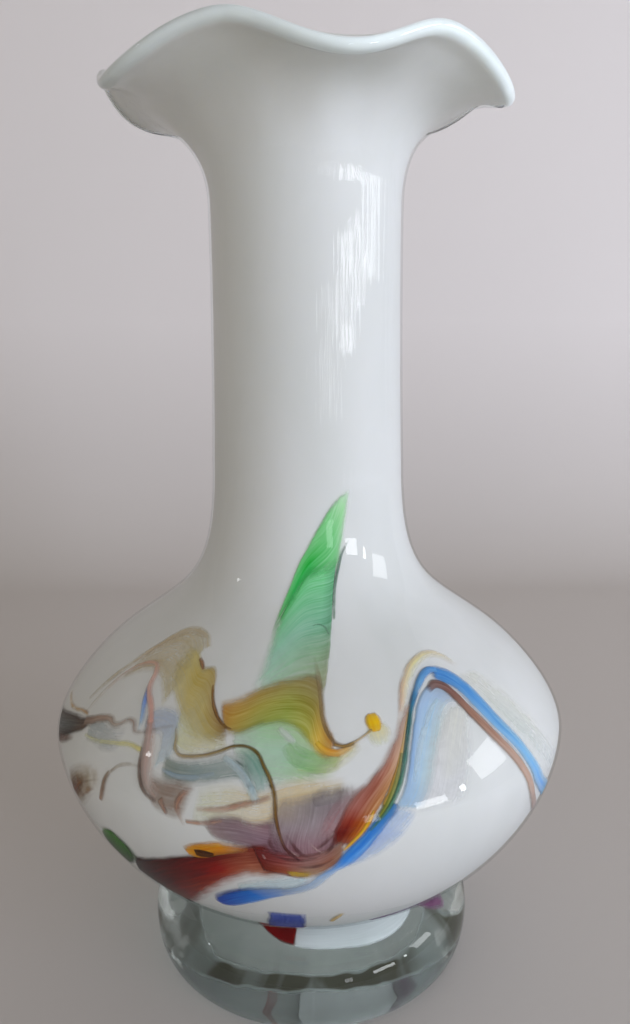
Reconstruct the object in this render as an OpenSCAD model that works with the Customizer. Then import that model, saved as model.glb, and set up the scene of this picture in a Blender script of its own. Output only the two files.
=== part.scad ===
// Hand blown cased glass vase: a squat onion bulb on a solid clear foot, a slim neck and a
// ruffled trumpet lip. A white opal layer carries pieces of coloured glass, and a clear
// casing is gathered over them. Millimetres, +Z up, table at z = 0, front faces -Y.

/* [Body] */
// widest diameter of the bulb
bulb_diameter = 170; // [130:1:200]
// height of the widest part of the bulb above the table
bulb_mid_height = 85; // [70:1:100]
// diameter of the waist where the bulb sits on the foot
waist_diameter = 76; // [60:1:90]
// height of the waist above the table
waist_height = 25.5; // [20:0.5:32]
// height of the underside of the bulb on the axis, inside the foot
bulb_floor_height = 16; // [10:0.5:20]
// height where the shoulder has run out into the neck
neck_start = 170; // [160:1:190]
// outer diameter of the neck
neck_diameter = 61; // [50:0.5:74]

/* [Lip] */
// height where the neck starts to open into the lip
flare_start = 250; // [235:1:258]
// mean height of the lip above the table
rim_height = 280; // [272:1:300]
// mean diameter of the lip
rim_diameter = 118; // [100:1:150]
// how strongly the lip is ruffled, 1 is as made
ruffle = 1; // [0:0.1:1.4]
// mean slope of the lip at its edge, in degrees above level
lip_slope = 14; // [5:1:30]

/* [Glass layers] */
// thickness of the clear casing
casing_wall = 1.4; // [1.2:0.1:2]
// thickness of the white opal layer
opal_wall = 2.2; // [1.6:0.1:3]
// thickness of the coloured pieces held between them
colour_wall = 0.6; // [0.4:0.1:0.8]
// extra glass in the floor of the opal layer on the axis
floor_extra = 4; // [0:0.5:8]

/* [Foot] */
// diameter of the solid clear foot
foot_diameter = 112; // [90:1:130]
// height of the foot's widest line above the table
foot_edge_height = 11; // [8:0.5:14]
// outer diameter of the ground ring the vase stands on
ground_ring_diameter = 102; // [80:1:110]
// width of the ground ring
ground_ring_width = 9; // [4:0.5:14]
// depth of the polished hollow under the foot
hollow_depth = 4.5; // [2:0.5:7]

/* [Hidden] */
bulb_r = bulb_diameter / 2;
neck_r = neck_diameter / 2;
waist_r = waist_diameter / 2;
foot_r = foot_diameter / 2;
ring_r = ground_ring_diameter / 2;
wall = casing_wall + opal_wall;
colour_in = casing_wall - colour_wall;
waist_rise = 28.6;
turn_rise = 36.7;
turn = [bulb_r * 0.77, bulb_mid_height + (neck_start - bulb_mid_height) * 0.316];
lip_steps = 72;
// clearance that keeps the two faceted lips off each other
lip_gap = 0.03;
// the lips start as tongues set into the neck wall, this far in from its faces
tongue = 6;
tongue_inset = 0.14;

// The twelve crests and dips of the ruffle: azimuth from the front, rise, extra reach.
ruffle_knots = [
  [-142, 3, 1.5], [-110, -0.5, 1], [-82, 3, 1.5], [-61, -5, 2],
  [-23, 2, -1.5], [9, -8.5, 2.5], [40, 1.5, 0], [75, -5, 2],
  [101, 2.5, -2.5], [130, 2, -1], [156, 3.5, 0], [188, -2, 2.5],
  [218, 3, 1.5]
];

function bez(p, t) =
  pow(1 - t, 3) * p[0] + 3 * pow(1 - t, 2) * t * p[1]
  + 3 * (1 - t) * t * t * p[2] + pow(t, 3) * p[3];
function bez_dir(p, t) =
  3 * pow(1 - t, 2) * (p[1] - p[0]) + 6 * (1 - t) * t * (p[2] - p[1])
  + 3 * t * t * (p[3] - p[2]);
function unit(v) = v / norm(v);
function out_of(v) = [unit(v)[1], -unit(v)[0]];
function polar(a) = [cos(a), sin(a)];

// Outer skin in five runs, as radius and height: floor, lower bulb, upper bulb, shoulder, neck.
waist = [waist_r, waist_height];
runs = [
  [[0, bulb_floor_height], [14, bulb_floor_height],
   waist - 14 * polar(waist_rise), waist],
  [waist, waist + 46 * polar(waist_rise),
   [bulb_r, bulb_mid_height - 10], [bulb_r, bulb_mid_height]],
  [[bulb_r, bulb_mid_height], [bulb_r, bulb_mid_height + 8.5],
   turn + 8 * polar(-turn_rise), turn],
  [turn, turn + 29 * polar(180 - turn_rise),
   [neck_r + 1.4, neck_start - 41], [neck_r + 1.2, neck_start]],
  [[neck_r + 1.2, neck_start], [neck_r + 0.6, neck_start + 20],
   [neck_r, flare_start - 24], [neck_r + 0.3, flare_start]]
];
run_steps = [7, 11, 8, 12, 6];
floor_count = run_steps[0];
skin_at = concat(
  [for (k = [0:4]) for (i = [0:run_steps[k] - 1]) [runs[k], i / run_steps[k]]],
  [[runs[4], 1]]
);
last = len(skin_at) - 1;

// The outer skin moved inwards by d along its own normal.
function floor_share(i) = i < floor_count ? 1 - pow(i / floor_count, 2) : 0;
function layer_point(i, d, extra) =
  let (p = bez(skin_at[i][0], skin_at[i][1]))
  let (n = out_of(bez_dir(skin_at[i][0], skin_at[i][1])))
  let (q = p - (d + extra * floor_share(i)) * n)
  i == 0 ? [0, q[1]] : i == last ? [p[0] - d, flare_start] : q;
function layer(d, extra = 0) = [for (i = [0:last]) layer_point(i, d, extra)];
function flip(v) = [for (i = [len(v) - 1:-1:0]) v[i]];
skin_radius = [for (p = layer(colour_in)) [p[1], p[0]]];

// Ruffled lip. Each azimuth has its own meridian from the neck to the edge.
function knot_before(a, i) = a >= ruffle_knots[i][0] && a < ruffle_knots[i + 1][0];
function knot_index(a) = [for (i = [0:len(ruffle_knots) - 2]) if (knot_before(a, i)) i][0];
function ease(t) = (1 - cos(180 * t)) / 2;
function ruffle_at(a) =
  let (k = knot_index(a))
  let (p = ruffle_knots[k])
  let (q = ruffle_knots[k + 1])
  ruffle * (p + (q - p) * ease((a - p[0]) / (q[0] - p[0])));
function meridian(a) =
  let (w = ruffle_at(a))
  let (edge = [rim_diameter / 2 + w[2], rim_height + w[1]])
  let (slope = lip_slope + 5 * w[1])
  [[neck_r + 0.3, flare_start], [neck_r + 0.5, flare_start + 18],
   edge - 20 * polar(slope), edge];
function inset(t) = tongue_inset * max(0, 1 - t / 0.24);
function lip_at(m, t, d) = bez(m, t) - d * out_of(t == 0 ? [0, 1] : bez_dir(m, t));
function spin(p, a) = [p[0] * sin(a), -p[0] * cos(a), p[1]];
function wall_point(z, d) = [lookup(z, [for (p = layer(d)) [p[1], p[0]]]), z];
azimuths = [for (i = [0:lip_steps - 1]) -141 + i * 360 / lip_steps];

lip_walk = [0, 0.12, 0.24, 0.36, 0.47, 0.57, 0.66, 0.74, 0.81, 0.87, 0.92, 0.955];
casing_walk = concat(lip_walk, [1]);
function opal_section(m) = concat(
  [wall_point(flare_start - tongue, casing_wall + lip_gap + inset(0))],
  [for (t = lip_walk) lip_at(m, t, casing_wall + lip_gap + inset(t))],
  [lip_at(m, 0.968, casing_wall + opal_wall / 2)],
  [for (t = flip(lip_walk)) lip_at(m, t, wall - 2 * lip_gap - inset(t))],
  [wall_point(flare_start - tongue, wall - 2 * lip_gap - inset(0))]
);
function casing_section(m) = concat(
  [wall_point(flare_start - tongue, lip_gap + inset(0))],
  [for (t = casing_walk) lip_at(m, t, lip_gap + inset(t))],
  [for (a = [-45, 0, 45])
    bez(m, 1) - wall / 2 * out_of(bez_dir(m, 1))
    + wall / 2 * (cos(a) * unit(bez_dir(m, 1)) - sin(a) * out_of(bez_dir(m, 1)))],
  [lip_at(m, 1, wall), lip_at(m, 0.98, wall), lip_at(m, 0.98, casing_wall - 2 * lip_gap)],
  [for (t = flip(lip_walk)) lip_at(m, t, casing_wall - 2 * lip_gap - inset(t))],
  [wall_point(flare_start - tongue, casing_wall - 2 * lip_gap - inset(0))]
);
function ring_faces(n, m) = [
  for (i = [0:n - 1]) for (j = [0:m - 1])
    let (a = i * m + j)
    let (b = i * m + (j + 1) % m)
    let (c = (i + 1) % n * m + (j + 1) % m)
    let (d = (i + 1) % n * m + j)
    each [[a, b, c], [a, c, d]]
];
module sweep_lip(sections) {
  m = len(sections[0]);
  points = [for (i = [0:lip_steps - 1]) for (p = sections[i]) spin(p, azimuths[i])];
  polyhedron(points = points, faces = ring_faces(lip_steps, m), convexity = 8);
}

// Coloured pieces: an outline in [azimuth, height] on the skin, cut from a thin layer.
function wrap(i, n) = (i + n) % n;
function smooth4(a, b, c, d, t) =
  0.5 * (2 * b + (c - a) * t + (2 * a - 5 * b + 4 * c - d) * t * t
  + (3 * b - a - 3 * c + d) * t * t * t);
function loop_of(v, k = 2) = [
  for (i = [0:len(v) - 1]) for (j = [0:k - 1])
    smooth4(v[wrap(i - 1, len(v))], v[i], v[wrap(i + 1, len(v))],
            v[wrap(i + 2, len(v))], j / k)
];
function flat(v, a0) = [for (p = v) [lookup(p[1], skin_radius) * sin(p[0] - a0), p[1]]];
function side(v, i) =
  out_of(v[min(i + 1, len(v) - 1)] - v[max(i - 1, 0)]);
function ribbon(v, w) = concat(
  [for (i = [0:len(v) - 1]) v[i] + w[i] / 2 * side(v, i)],
  [for (i = [len(v) - 1:-1:0]) v[i] - w[i] / 2 * side(v, i)]
);
function taper(n, w) = [for (i = [0:n - 1]) i == 0 || i == n - 1 ? w * 0.45 : w];
module colour_layer(inner) {
  rotate_extrude($fn = 180)
    polygon(concat(
      [for (i = [floor_count + 1:last - 2]) layer_point(i, inner, 0)],
      flip([for (i = [floor_count + 1:last - 2]) layer_point(i, colour_in, 0)])
    ));
}
module forward(a0) {
  rotate([0, 0, a0]) rotate([90, 0, 0]) linear_extrude(height = 100) children();
}

// Each row: name, middle azimuth, width of a drawn thread or 0 for a patch, outline, colour.
chips = [
  ["leaf_shard", 4, 0,
    [[23, 163.5], [15, 160], [8, 155], [1, 149.5], [-5, 142.5], [-10, 134], [-14, 125.8],
     [-8, 132], [0, 139.3], [7, 141], [13, 142], [17, 147.5], [20.5, 155]]],
  ["leaf_veil", -2, 0,
    [[-13, 123.8], [-7.5, 130], [0.5, 137.3], [7, 139], [11, 139.8], [10.5, 134], [8.3, 127],
     [5.8, 121.5], [3.5, 118.6], [-3, 118], [-9, 117.4], [-14, 116], [-15, 120]]],
  ["olive_band", -8, 0,
    [[-20.5, 110.6], [-15, 112.6], [-10, 114.6], [-5, 115.6], [0, 116], [3, 114.5],
     [3.6, 110], [4.4, 106.5], [3, 105.2], [0, 107.4], [-5, 110], [-10, 110.6],
     [-14, 109.2], [-18, 108.6]]],
  ["gold_tail", 8, 1.0,
    [[5.6, 104.6], [7.6, 104], [9.6, 104.6], [11.4, 105.8]]],
  ["yellow_dot", 14, 0,
    [[14, 110], [15.3, 109], [15.5, 107.8], [14, 106.4], [12.6, 107.4], [12.6, 109]]],
  ["aqua_patch", -6, 0,
    [[-15, 107.2], [-10, 109], [-5, 108.4], [0, 105.6], [3, 103], [0, 100.8], [-4, 101.4],
     [-6.6, 104.8], [-12, 105.4]]],
  ["khaki_patch", -30, 0,
    [[-40, 118], [-33, 117.3], [-27, 116], [-24, 112], [-21.9, 108.6], [-20, 106.6],
     [-24, 106.4], [-27.5, 107.8], [-32, 111.2], [-38, 114]]],
  ["straw_arc", -46, 0.9,
    [[-57, 106], [-55.8, 111], [-53, 116], [-48.5, 119.8], [-43, 121.4], [-37, 120.6]]],
  ["umber_thread", -34, 1.2,
    [[-62, 97], [-57, 99.4], [-50, 101.4], [-43, 102.6], [-36.5, 103.8], [-31, 105.2],
     [-28.3, 102.4], [-24, 100.4], [-20, 101.8], [-16, 103], [-12.5, 103.2], [-9.6, 101.4],
     [-8, 98.6], [-6.6, 95.4]]],
  ["plum_thread_upper", -48, 1.1,
    [[-55, 108.5], [-53, 112], [-49, 114], [-45.5, 113.2], [-42.8, 110], [-40.2, 106.4]]],
  ["plum_thread_lower", -31, 1.1,
    [[-37, 101.2], [-35, 97.5], [-32.5, 94], [-29, 91.2], [-25, 90.3]]],
  ["grey_wisp", -20, 0,
    [[-31, 98.4], [-24, 98.4], [-18, 99.6], [-12, 100.4], [-10.5, 98.6], [-16, 96.8],
     [-22, 95.8], [-28, 96]]],
  ["smoke_streak", -70, 2.4,
    [[-79, 85], [-74, 87.8], [-68.5, 90.6], [-64, 93.4]]],
  ["caramel_streak", -54, 2.4,
    [[-60, 73.5], [-56, 78.4], [-51, 83], [-46, 86.4]]],
  ["mauve_patch", -6, 0,
    [[-18, 88], [-12, 88.6], [-8.5, 91], [-4, 92.8], [0, 94.8], [4.2, 95], [5.4, 92],
     [3.8, 88.4], [1.6, 84.2], [-1, 80.6], [-3.4, 79], [-6, 82.2], [-9, 84.4], [-15, 85.6]]],
  ["amber_chip", -18, 0,
    [[-23.5, 79], [-20.5, 81.6], [-16, 83.2], [-12.6, 82.6], [-15, 81.2], [-19, 79.8]]],
  ["brick_band", -27, 0,
    [[-7.4, 81.6], [-10, 80.6], [-15, 78.6], [-20, 76.8], [-25, 74], [-30, 71], [-35, 67],
     [-38, 62], [-42, 55], [-45, 50], [-39, 49.4], [-33, 51], [-28, 55.6], [-25, 60.4],
     [-22, 65], [-18, 69.8], [-14, 73.3], [-10, 75.8], [-6.6, 78.6]]],
  ["green_chip", -45, 0,
    [[-50, 62.5], [-48, 68], [-44.5, 70.5], [-41.5, 69.4], [-41.8, 66], [-44.6, 62],
     [-48, 59.5]]],
  ["blue_cane", 20, 2.4,
    [[-18.5, 58], [-14, 61.5], [-9, 65], [-4, 67.8], [0, 70.5], [3, 74], [5.4, 77.6],
     [8.4, 81.4], [12, 86], [14.6, 90.6], [17, 95.6], [20, 101.6], [23, 106.6], [27, 111],
     [31, 113.7], [35, 114.4], [38.6, 112.4], [41, 108.5], [43.4, 102.6], [46, 95],
     [48.4, 87.6], [51.5, 81], [55.5, 76], [59.5, 72.2]]],
  ["rust_cane_inner", 46, 1.4,
    [[32.8, 110.6], [35, 109], [37, 106.2], [39, 102.8], [41, 98.6], [43.5, 92.4],
     [45.5, 86.8], [47.6, 81], [50.2, 75.8], [53.6, 71], [57, 67.8]]],
  ["rust_cane_outer", 12, 1.8,
    [[23.4, 110.4], [20.4, 107.2], [17, 103], [13, 97.5], [10, 94], [8.2, 90.5],
     [6.4, 86.5], [4, 82], [1.5, 77.6], [-1, 74.8]]],
  ["gold_line", 33, 1.0,
    [[24, 114.2], [28, 117], [33, 118.6], [38, 118.4], [42, 116.3], [44.4, 112.8]]],
  ["sky_fill", 25, 0,
    [[17.6, 92.2], [20, 96.4], [23.4, 102], [26.6, 106.6], [29.8, 108.8], [32, 106.8],
     [29, 103.6], [25.5, 101], [22, 97], [19, 92.6]]],
  ["lemon_veil", 31, 0,
    [[24, 95.8], [27, 99.6], [31, 102.8], [35, 104], [37, 102], [34.6, 99.2], [31, 97],
     [27, 95]]],
  ["pale_tail", 14, 0,
    [[9.8, 80.3], [13, 83.8], [15.6, 88], [18, 88.5], [17, 85], [13, 81.2]]],
  ["cobalt_chip", -6, 0,
    [[-10.5, 53.8], [-6, 54.4], [-1.9, 53.6], [-1.3, 48], [-2, 42.8], [-6, 41], [-11, 42],
     [-10.3, 48]]],
  ["straw_fleck", 6, 0,
    [[4.8, 53.2], [6.2, 54.2], [7.4, 53.4], [6.2, 52.2]]],
  ["wine_chip", -7, 0,
    [[-13, 37.4], [-7, 38.2], [-1.4, 37.4], [-2, 34.6], [-7, 33.8], [-12, 34.8]]],
  ["violet_chip", 25, 0,
    [[18, 38], [24, 41], [30, 44.4], [31.6, 42.2], [26, 38.5], [20, 35.8]]]
];

function chip_row(name) = [for (c = chips) if (c[0] == name) c][0];
function chip_outline(c) =
  c[2] == 0 ? flat(loop_of(c[3]), c[1])
  : ribbon(flat(c[3], c[1]), taper(len(c[3]), c[2]));
module chip(name, tint) {
  c = chip_row(name);
  color(tint)
    intersection() {
      colour_layer(casing_wall);
      forward(c[1]) polygon(chip_outline(c));
    }
}
module chip_pockets() {
  intersection() {
    colour_layer(casing_wall + 0.5);
    union() {
      for (c = chips)
        forward(c[1]) polygon(chip_outline(c));
    }
  }
}

module opal_body() {
  color([0.9, 0.91, 0.88])
    union() {
      rotate_extrude($fn = 180)
        polygon(concat(layer(casing_wall), flip(layer(wall, floor_extra))));
      sweep_lip([for (a = azimuths) opal_section(meridian(a))]);
    }
}
module clear_casing() {
  color([0.85, 0.93, 0.92, 0.35])
    union() {
      difference() {
        rotate_extrude($fn = 180)
          polygon(concat(layer(0), flip(layer(casing_wall))));
        chip_pockets();
      }
      sweep_lip([for (a = azimuths) casing_section(meridian(a))]);
    }
}
foot_shoulder = [waist, [waist_r + 11, waist_height - 0.3], [foot_r, foot_edge_height + 10],
                 [foot_r, foot_edge_height]];
foot_heel = [[foot_r, foot_edge_height], [foot_r, foot_edge_height * 0.5],
             [ring_r + 4, 0], [ring_r, 0]];
hollow_r = ring_r - ground_ring_width;
foot_hollow = [[hollow_r, 0], [hollow_r * 0.8, hollow_depth * 0.8],
               [hollow_r * 0.45, hollow_depth], [0, hollow_depth]];
module foot() {
  color([0.72, 0.82, 0.8, 0.45])
    rotate_extrude($fn = 180)
      polygon(concat(
        [for (i = [0:floor_count]) layer_point(i, 0, 0)],
        [for (i = [1:10]) bez(foot_shoulder, i / 10)],
        [for (i = [1:7]) bez(foot_heel, i / 7)],
        [for (i = [0:8]) bez(foot_hollow, i / 8)]
      ));
}
module leaf_shard() { chip("leaf_shard", [0.2, 0.66, 0.28]); }
module leaf_veil() { chip("leaf_veil", [0.5, 0.72, 0.6]); }
module olive_band() { chip("olive_band", [0.62, 0.6, 0.2]); }
module gold_tail() { chip("gold_tail", [0.85, 0.68, 0.2]); }
module yellow_dot() { chip("yellow_dot", [0.9, 0.72, 0.1]); }
module aqua_patch() { chip("aqua_patch", [0.55, 0.75, 0.62]); }
module khaki_patch() { chip("khaki_patch", [0.72, 0.66, 0.36]); }
module straw_arc() { chip("straw_arc", [0.75, 0.66, 0.5]); }
module umber_thread() { chip("umber_thread", [0.4, 0.3, 0.24]); }
module plum_thread_upper() { chip("plum_thread_upper", [0.52, 0.36, 0.4]); }
module plum_thread_lower() { chip("plum_thread_lower", [0.5, 0.33, 0.36]); }
module grey_wisp() { chip("grey_wisp", [0.62, 0.68, 0.72]); }
module smoke_streak() { chip("smoke_streak", [0.34, 0.28, 0.26]); }
module caramel_streak() { chip("caramel_streak", [0.5, 0.36, 0.22]); }
module mauve_patch() { chip("mauve_patch", [0.6, 0.5, 0.56]); }
module amber_chip() { chip("amber_chip", [0.75, 0.5, 0.12]); }
module brick_band() { chip("brick_band", [0.5, 0.14, 0.07]); }
module green_chip() { chip("green_chip", [0.2, 0.32, 0.14]); }
module blue_cane() { chip("blue_cane", [0.16, 0.44, 0.8]); }
module rust_cane_inner() { chip("rust_cane_inner", [0.55, 0.34, 0.28]); }
module rust_cane_outer() { chip("rust_cane_outer", [0.5, 0.22, 0.14]); }
module gold_line() { chip("gold_line", [0.85, 0.7, 0.45]); }
module sky_fill() { chip("sky_fill", [0.64, 0.74, 0.88]); }
module lemon_veil() { chip("lemon_veil", [0.86, 0.87, 0.68]); }
module pale_tail() { chip("pale_tail", [0.62, 0.7, 0.86]); }
module cobalt_chip() { chip("cobalt_chip", [0.05, 0.08, 0.45]); }
module straw_fleck() { chip("straw_fleck", [0.8, 0.75, 0.5]); }
module wine_chip() { chip("wine_chip", [0.35, 0.05, 0.05]); }
module violet_chip() { chip("violet_chip", [0.38, 0.25, 0.45]); }

opal_body();
clear_casing();
foot();
leaf_shard();
leaf_veil();
olive_band();
gold_tail();
yellow_dot();
aqua_patch();
khaki_patch();
straw_arc();
umber_thread();
plum_thread_upper();
plum_thread_lower();
grey_wisp();
smoke_streak();
caramel_streak();
mauve_patch();
amber_chip();
brick_band();
green_chip();
blue_cane();
rust_cane_inner();
rust_cane_outer();
gold_line();
sky_fill();
lemon_veil();
pale_tail();
cobalt_chip();
straw_fleck();
wine_chip();
violet_chip();
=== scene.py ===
"""Hand blown cased glass vase: opal body, coloured glass fused under a clear casing, clear foot."""

import math
from functools import cached_property

import bpy
import numpy as np
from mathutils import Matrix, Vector


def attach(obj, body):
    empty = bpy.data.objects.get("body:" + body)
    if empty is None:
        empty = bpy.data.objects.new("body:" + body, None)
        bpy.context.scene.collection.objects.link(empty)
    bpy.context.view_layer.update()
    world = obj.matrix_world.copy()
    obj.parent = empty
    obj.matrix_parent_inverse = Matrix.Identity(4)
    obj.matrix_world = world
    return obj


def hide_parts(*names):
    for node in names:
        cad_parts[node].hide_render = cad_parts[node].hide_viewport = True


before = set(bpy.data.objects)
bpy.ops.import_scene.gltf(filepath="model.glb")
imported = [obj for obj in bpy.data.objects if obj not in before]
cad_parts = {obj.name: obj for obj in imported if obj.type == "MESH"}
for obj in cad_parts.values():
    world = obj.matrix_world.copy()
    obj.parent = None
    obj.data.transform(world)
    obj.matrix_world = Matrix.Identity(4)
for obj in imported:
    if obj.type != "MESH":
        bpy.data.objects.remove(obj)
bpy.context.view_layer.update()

MM = 0.001

# ---------------------------------------------------------------- form, in millimetres and degrees
WALL = 3.6
FLARE_Z = 250.0
RIM_R, RIM_Z = 59.0, 280.0
RIM_SLOPE, SLOPE_PER_RISE = 14, 5
FLARE_PULL, RIM_PULL = 18, 20
NECK_R, NECK_START = 30.5, 170.0
NECK_TOP_R = NECK_R + 0.3
WAIST, WAIST_LEAN = np.array([38.0, 25.5]), 28.6
BULB_R, BULB_Z = 85.0, 85.0
TURN, TURN_LEAN = np.array([BULB_R * 0.77, BULB_Z + 26.9]), -36.7
FLOOR_Z, FLOOR_EXTRA = 16.0, 4.0
FOOT_R, FOOT_EDGE_Z = 56.0, 11.0
RING_R, RING_WIDTH, HOLLOW = 51.0, 9.0, 4.5
AXIS_R = 0.02
COLUMNS = 240

# Layers under the skin: how deep the opal lies, what keeps layers apart, where they end along the lip.
OPAL_DEPTH, HIDDEN_EXTRA, SEAT_EXTRA = 0.75, 0.2, 0.06
OPAL_END, FUSE_END = 0.988, 0.975
BEAD, BEAD_AT, BEAD_SPREAD = 0.32, 0.972, 0.022
GROOVE, GROOVE_AT, GROOVE_SPREAD = 0.6 * BEAD, 0.9, 0.03
FLOOR_GAP = 0.3

# Coloured glass: its relief at level 1 and how wide that takes to rise, the depths of its edge and
# underside below the opal's surface, widening of its soft edges, gloss taken off its tints.
LEVEL, RISE_WIDTH = 0.075, 0.5
TOP_DEPTH, LOW_DEPTH = 0.03, 0.12
SOFTEN = 2.0
GLOSS = 0.012
MAX_TINT, WHITE = 0.86, 0.8


def polar(degrees):
    """Unit direction at an angle above the outward one."""
    a = math.radians(degrees)
    return np.array([math.cos(a), math.sin(a)])


def bez(p, t):
    """Points on a cubic curve at parameters t."""
    t = np.asarray(t, float)[..., None]
    return (1 - t) ** 3 * p[0] + 3 * (1 - t) ** 2 * t * p[1] + 3 * (1 - t) * t * t * p[2] + t ** 3 * p[3]


def bez_dir(p, t):
    """Directions along the curve."""
    t = np.asarray(t, float)[..., None]
    return 3 * (1 - t) ** 2 * (p[1] - p[0]) + 6 * (1 - t) * t * (p[2] - p[1]) + 3 * t * t * (p[3] - p[2])


def outward(d):
    """Unit normals on the right of directions, which is outside on a profile that runs up."""
    n = np.stack([d[..., 1], -d[..., 0]], -1)
    return n / np.linalg.norm(n, axis=-1, keepdims=True)


def pts(*rows):
    return [np.array(r, float) for r in rows]


def skin_profile():
    """Outer skin from the axis to the lip: points, outward normals, and how many rows the foot covers."""
    runs = [
        (16, [0, FLOOR_Z], [14, FLOOR_Z], WAIST - 14 * polar(WAIST_LEAN), WAIST),
        (44, WAIST, WAIST + 46 * polar(WAIST_LEAN), [BULB_R, BULB_Z - 10], [BULB_R, BULB_Z]),
        (22, [BULB_R, BULB_Z], [BULB_R, BULB_Z + 8.5], TURN + 8 * polar(TURN_LEAN), TURN),
        (34, TURN, TURN + 29 * polar(180 + TURN_LEAN), [NECK_R + 1.4, NECK_START - 41],
         [NECK_R + 1.2, NECK_START]),
        (26, [NECK_R + 1.2, NECK_START], [NECK_R + 0.6, NECK_START + 20], [NECK_R, FLARE_Z - 24],
         [NECK_TOP_R, FLARE_Z])]
    skin, norm = [], []
    for steps, *row in runs:
        p, t = pts(*row), np.arange(steps) / steps
        skin.append(bez(p, t))
        norm.append(outward(bez_dir(p, t)))
    norm[0][0] = (0, -1)
    return np.vstack(skin), np.vstack(norm), runs[0][0]


SKIN, NORM, FOOT_ROWS = skin_profile()

# Ruffle of the lip: azimuth from the front, rise and extra reach of each crest and dip.
KNOTS = np.array([
    [-142, 3, 1.5], [-110, -0.5, 1], [-82, 3, 1.5], [-61, -5, 2],
    [-23, 2, -1.5], [9, -8.5, 2.5], [40, 1.5, 0], [75, -5, 2],
    [101, 2.5, -2.5], [130, 2, -1], [156, 3.5, 0], [188, -2, 2.5],
    [218, 3, 1.5]])


def ruffle(azimuth):
    """Rise and extra reach of the lip at azimuths, eased from knot to knot."""
    a = (azimuth - KNOTS[0, 0]) % 360.0 + KNOTS[0, 0]
    k = np.clip(np.searchsorted(KNOTS[:, 0], a, side="right") - 1, 0, len(KNOTS) - 2)
    lo, hi = KNOTS[k], KNOTS[k + 1]
    e = (1 - np.cos(np.pi * (a - lo[:, 0]) / (hi[:, 0] - lo[:, 0]))) / 2
    return (lo + (hi - lo) * e[:, None])[:, 1:]


AZ = np.arange(COLUMNS) * 360.0 / COLUMNS
LIP_T = np.concatenate([np.linspace(0, 0.9, 30), [0.925, 0.945, 0.96, 0.975, 0.988, 1.0]])


def lip_rows(t):
    """Radius, height and meridian normal of the lip at each azimuth, for parameters t."""
    rise, reach = ruffle(AZ).T
    edge = np.stack([RIM_R + reach, RIM_Z + rise], -1)
    slope = np.radians(RIM_SLOPE + SLOPE_PER_RISE * rise)
    start = np.broadcast_to([NECK_TOP_R, FLARE_Z], edge.shape)
    inwards = -np.stack([np.cos(slope), np.sin(slope)], -1)
    p = [start, start + [0.2, FLARE_PULL], edge + RIM_PULL * inwards, edge]
    out = np.array([bez(p, np.full(COLUMNS, x)) for x in t])
    nrm = np.array([outward(bez_dir(p, np.full(COLUMNS, x))) for x in t])
    bead = BEAD * np.exp(-((t - BEAD_AT) / BEAD_SPREAD) ** 2)
    groove = GROOVE * np.exp(-((t - GROOVE_AT) / GROOVE_SPREAD) ** 2)
    return out + (bead - groove)[:, None, None] * nrm, nrm


LIP, LIP_N = lip_rows(LIP_T)


def wall_rows(depth, last_t=1.0, floor_extra=0.0):
    """Rows of the body and lip at a depth below the skin, from the axis up to lip parameter last_t."""
    share = np.maximum(0, 1 - (np.arange(len(SKIN)) / FOOT_ROWS) ** 2) * floor_extra
    body = SKIN - (depth + share)[:, None] * NORM
    body[0, 0] = AXIS_R
    keep = LIP_T <= last_t + 1e-9
    return np.concatenate([np.repeat(body[:, None, :], COLUMNS, 1), LIP[keep] - depth * LIP_N[keep]], 0)


def spin(r, z, azimuth):
    """Points at radii, heights and azimuths in degrees; azimuth 0 faces the front."""
    a = np.radians(azimuth)
    return np.stack([r * np.sin(a), -r * np.cos(a), z], -1)


def linked_object(name, verts, faces):
    """A smooth object in the scene from vertices in metres."""
    mesh = bpy.data.meshes.new(name)
    mesh.from_pydata(verts, [], faces)
    mesh.polygons.foreach_set("use_smooth", [True] * len(faces))
    mesh.update()
    obj = bpy.data.objects.new(name, mesh)
    bpy.context.scene.collection.objects.link(obj)
    return obj


def grid_object(name, rows, slots=None):
    """A closed surface from rows of (radius, height) at each azimuth, with material slots between rows."""
    k, n = rows.shape[:2]
    verts = spin(rows[..., 0], rows[..., 1], AZ).reshape(-1, 3).tolist()
    i, j = np.meshgrid(np.arange(k - 1), np.arange(n), indexing="ij")
    a, b = i * n + j, i * n + (j + 1) % n
    faces = np.stack([a, b, b + n, a + n], -1).reshape(-1, 4).tolist()
    index = [0] * len(faces) if slots is None else np.repeat(slots, n).tolist()
    for row, turn in ((0, -1), (k - 1, 1)):
        verts.append([0, 0, float(rows[row, :, 1].mean())])
        pairs = [(row * n + c, row * n + (c + 1) % n) for c in range(n)]
        faces += [[len(verts) - 1, *pair[::turn]] for pair in pairs]
        index += [index[min(row, k - 2) * n]] * n
    obj = linked_object(name, [(x * MM, y * MM, z * MM) for x, y, z in verts], faces)
    obj.data.polygons.foreach_set("material_index", index)
    return obj


def edge_arc(outer, inner, steps):
    """Rows that round an edge over from its outer to its inner surface."""
    mid, half = (outer + inner) / 2, (outer - inner) / 2
    tip = np.stack([-half[..., 1], half[..., 0]], -1)
    return np.array([mid + half * math.cos(a) + tip * math.sin(a)
                     for a in [math.pi * (s + 1) / (steps + 1) for s in range(steps)]])


# ---------------------------------------------------------------- materials
def srgb(*c):
    """Linear colour of an sRGB colour given from 0 to 255."""
    c = np.array(c[:3], float) / 255
    return np.where(c <= 0.04045, c / 12.92, ((c + 0.055) / 1.055) ** 2.4)


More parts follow.
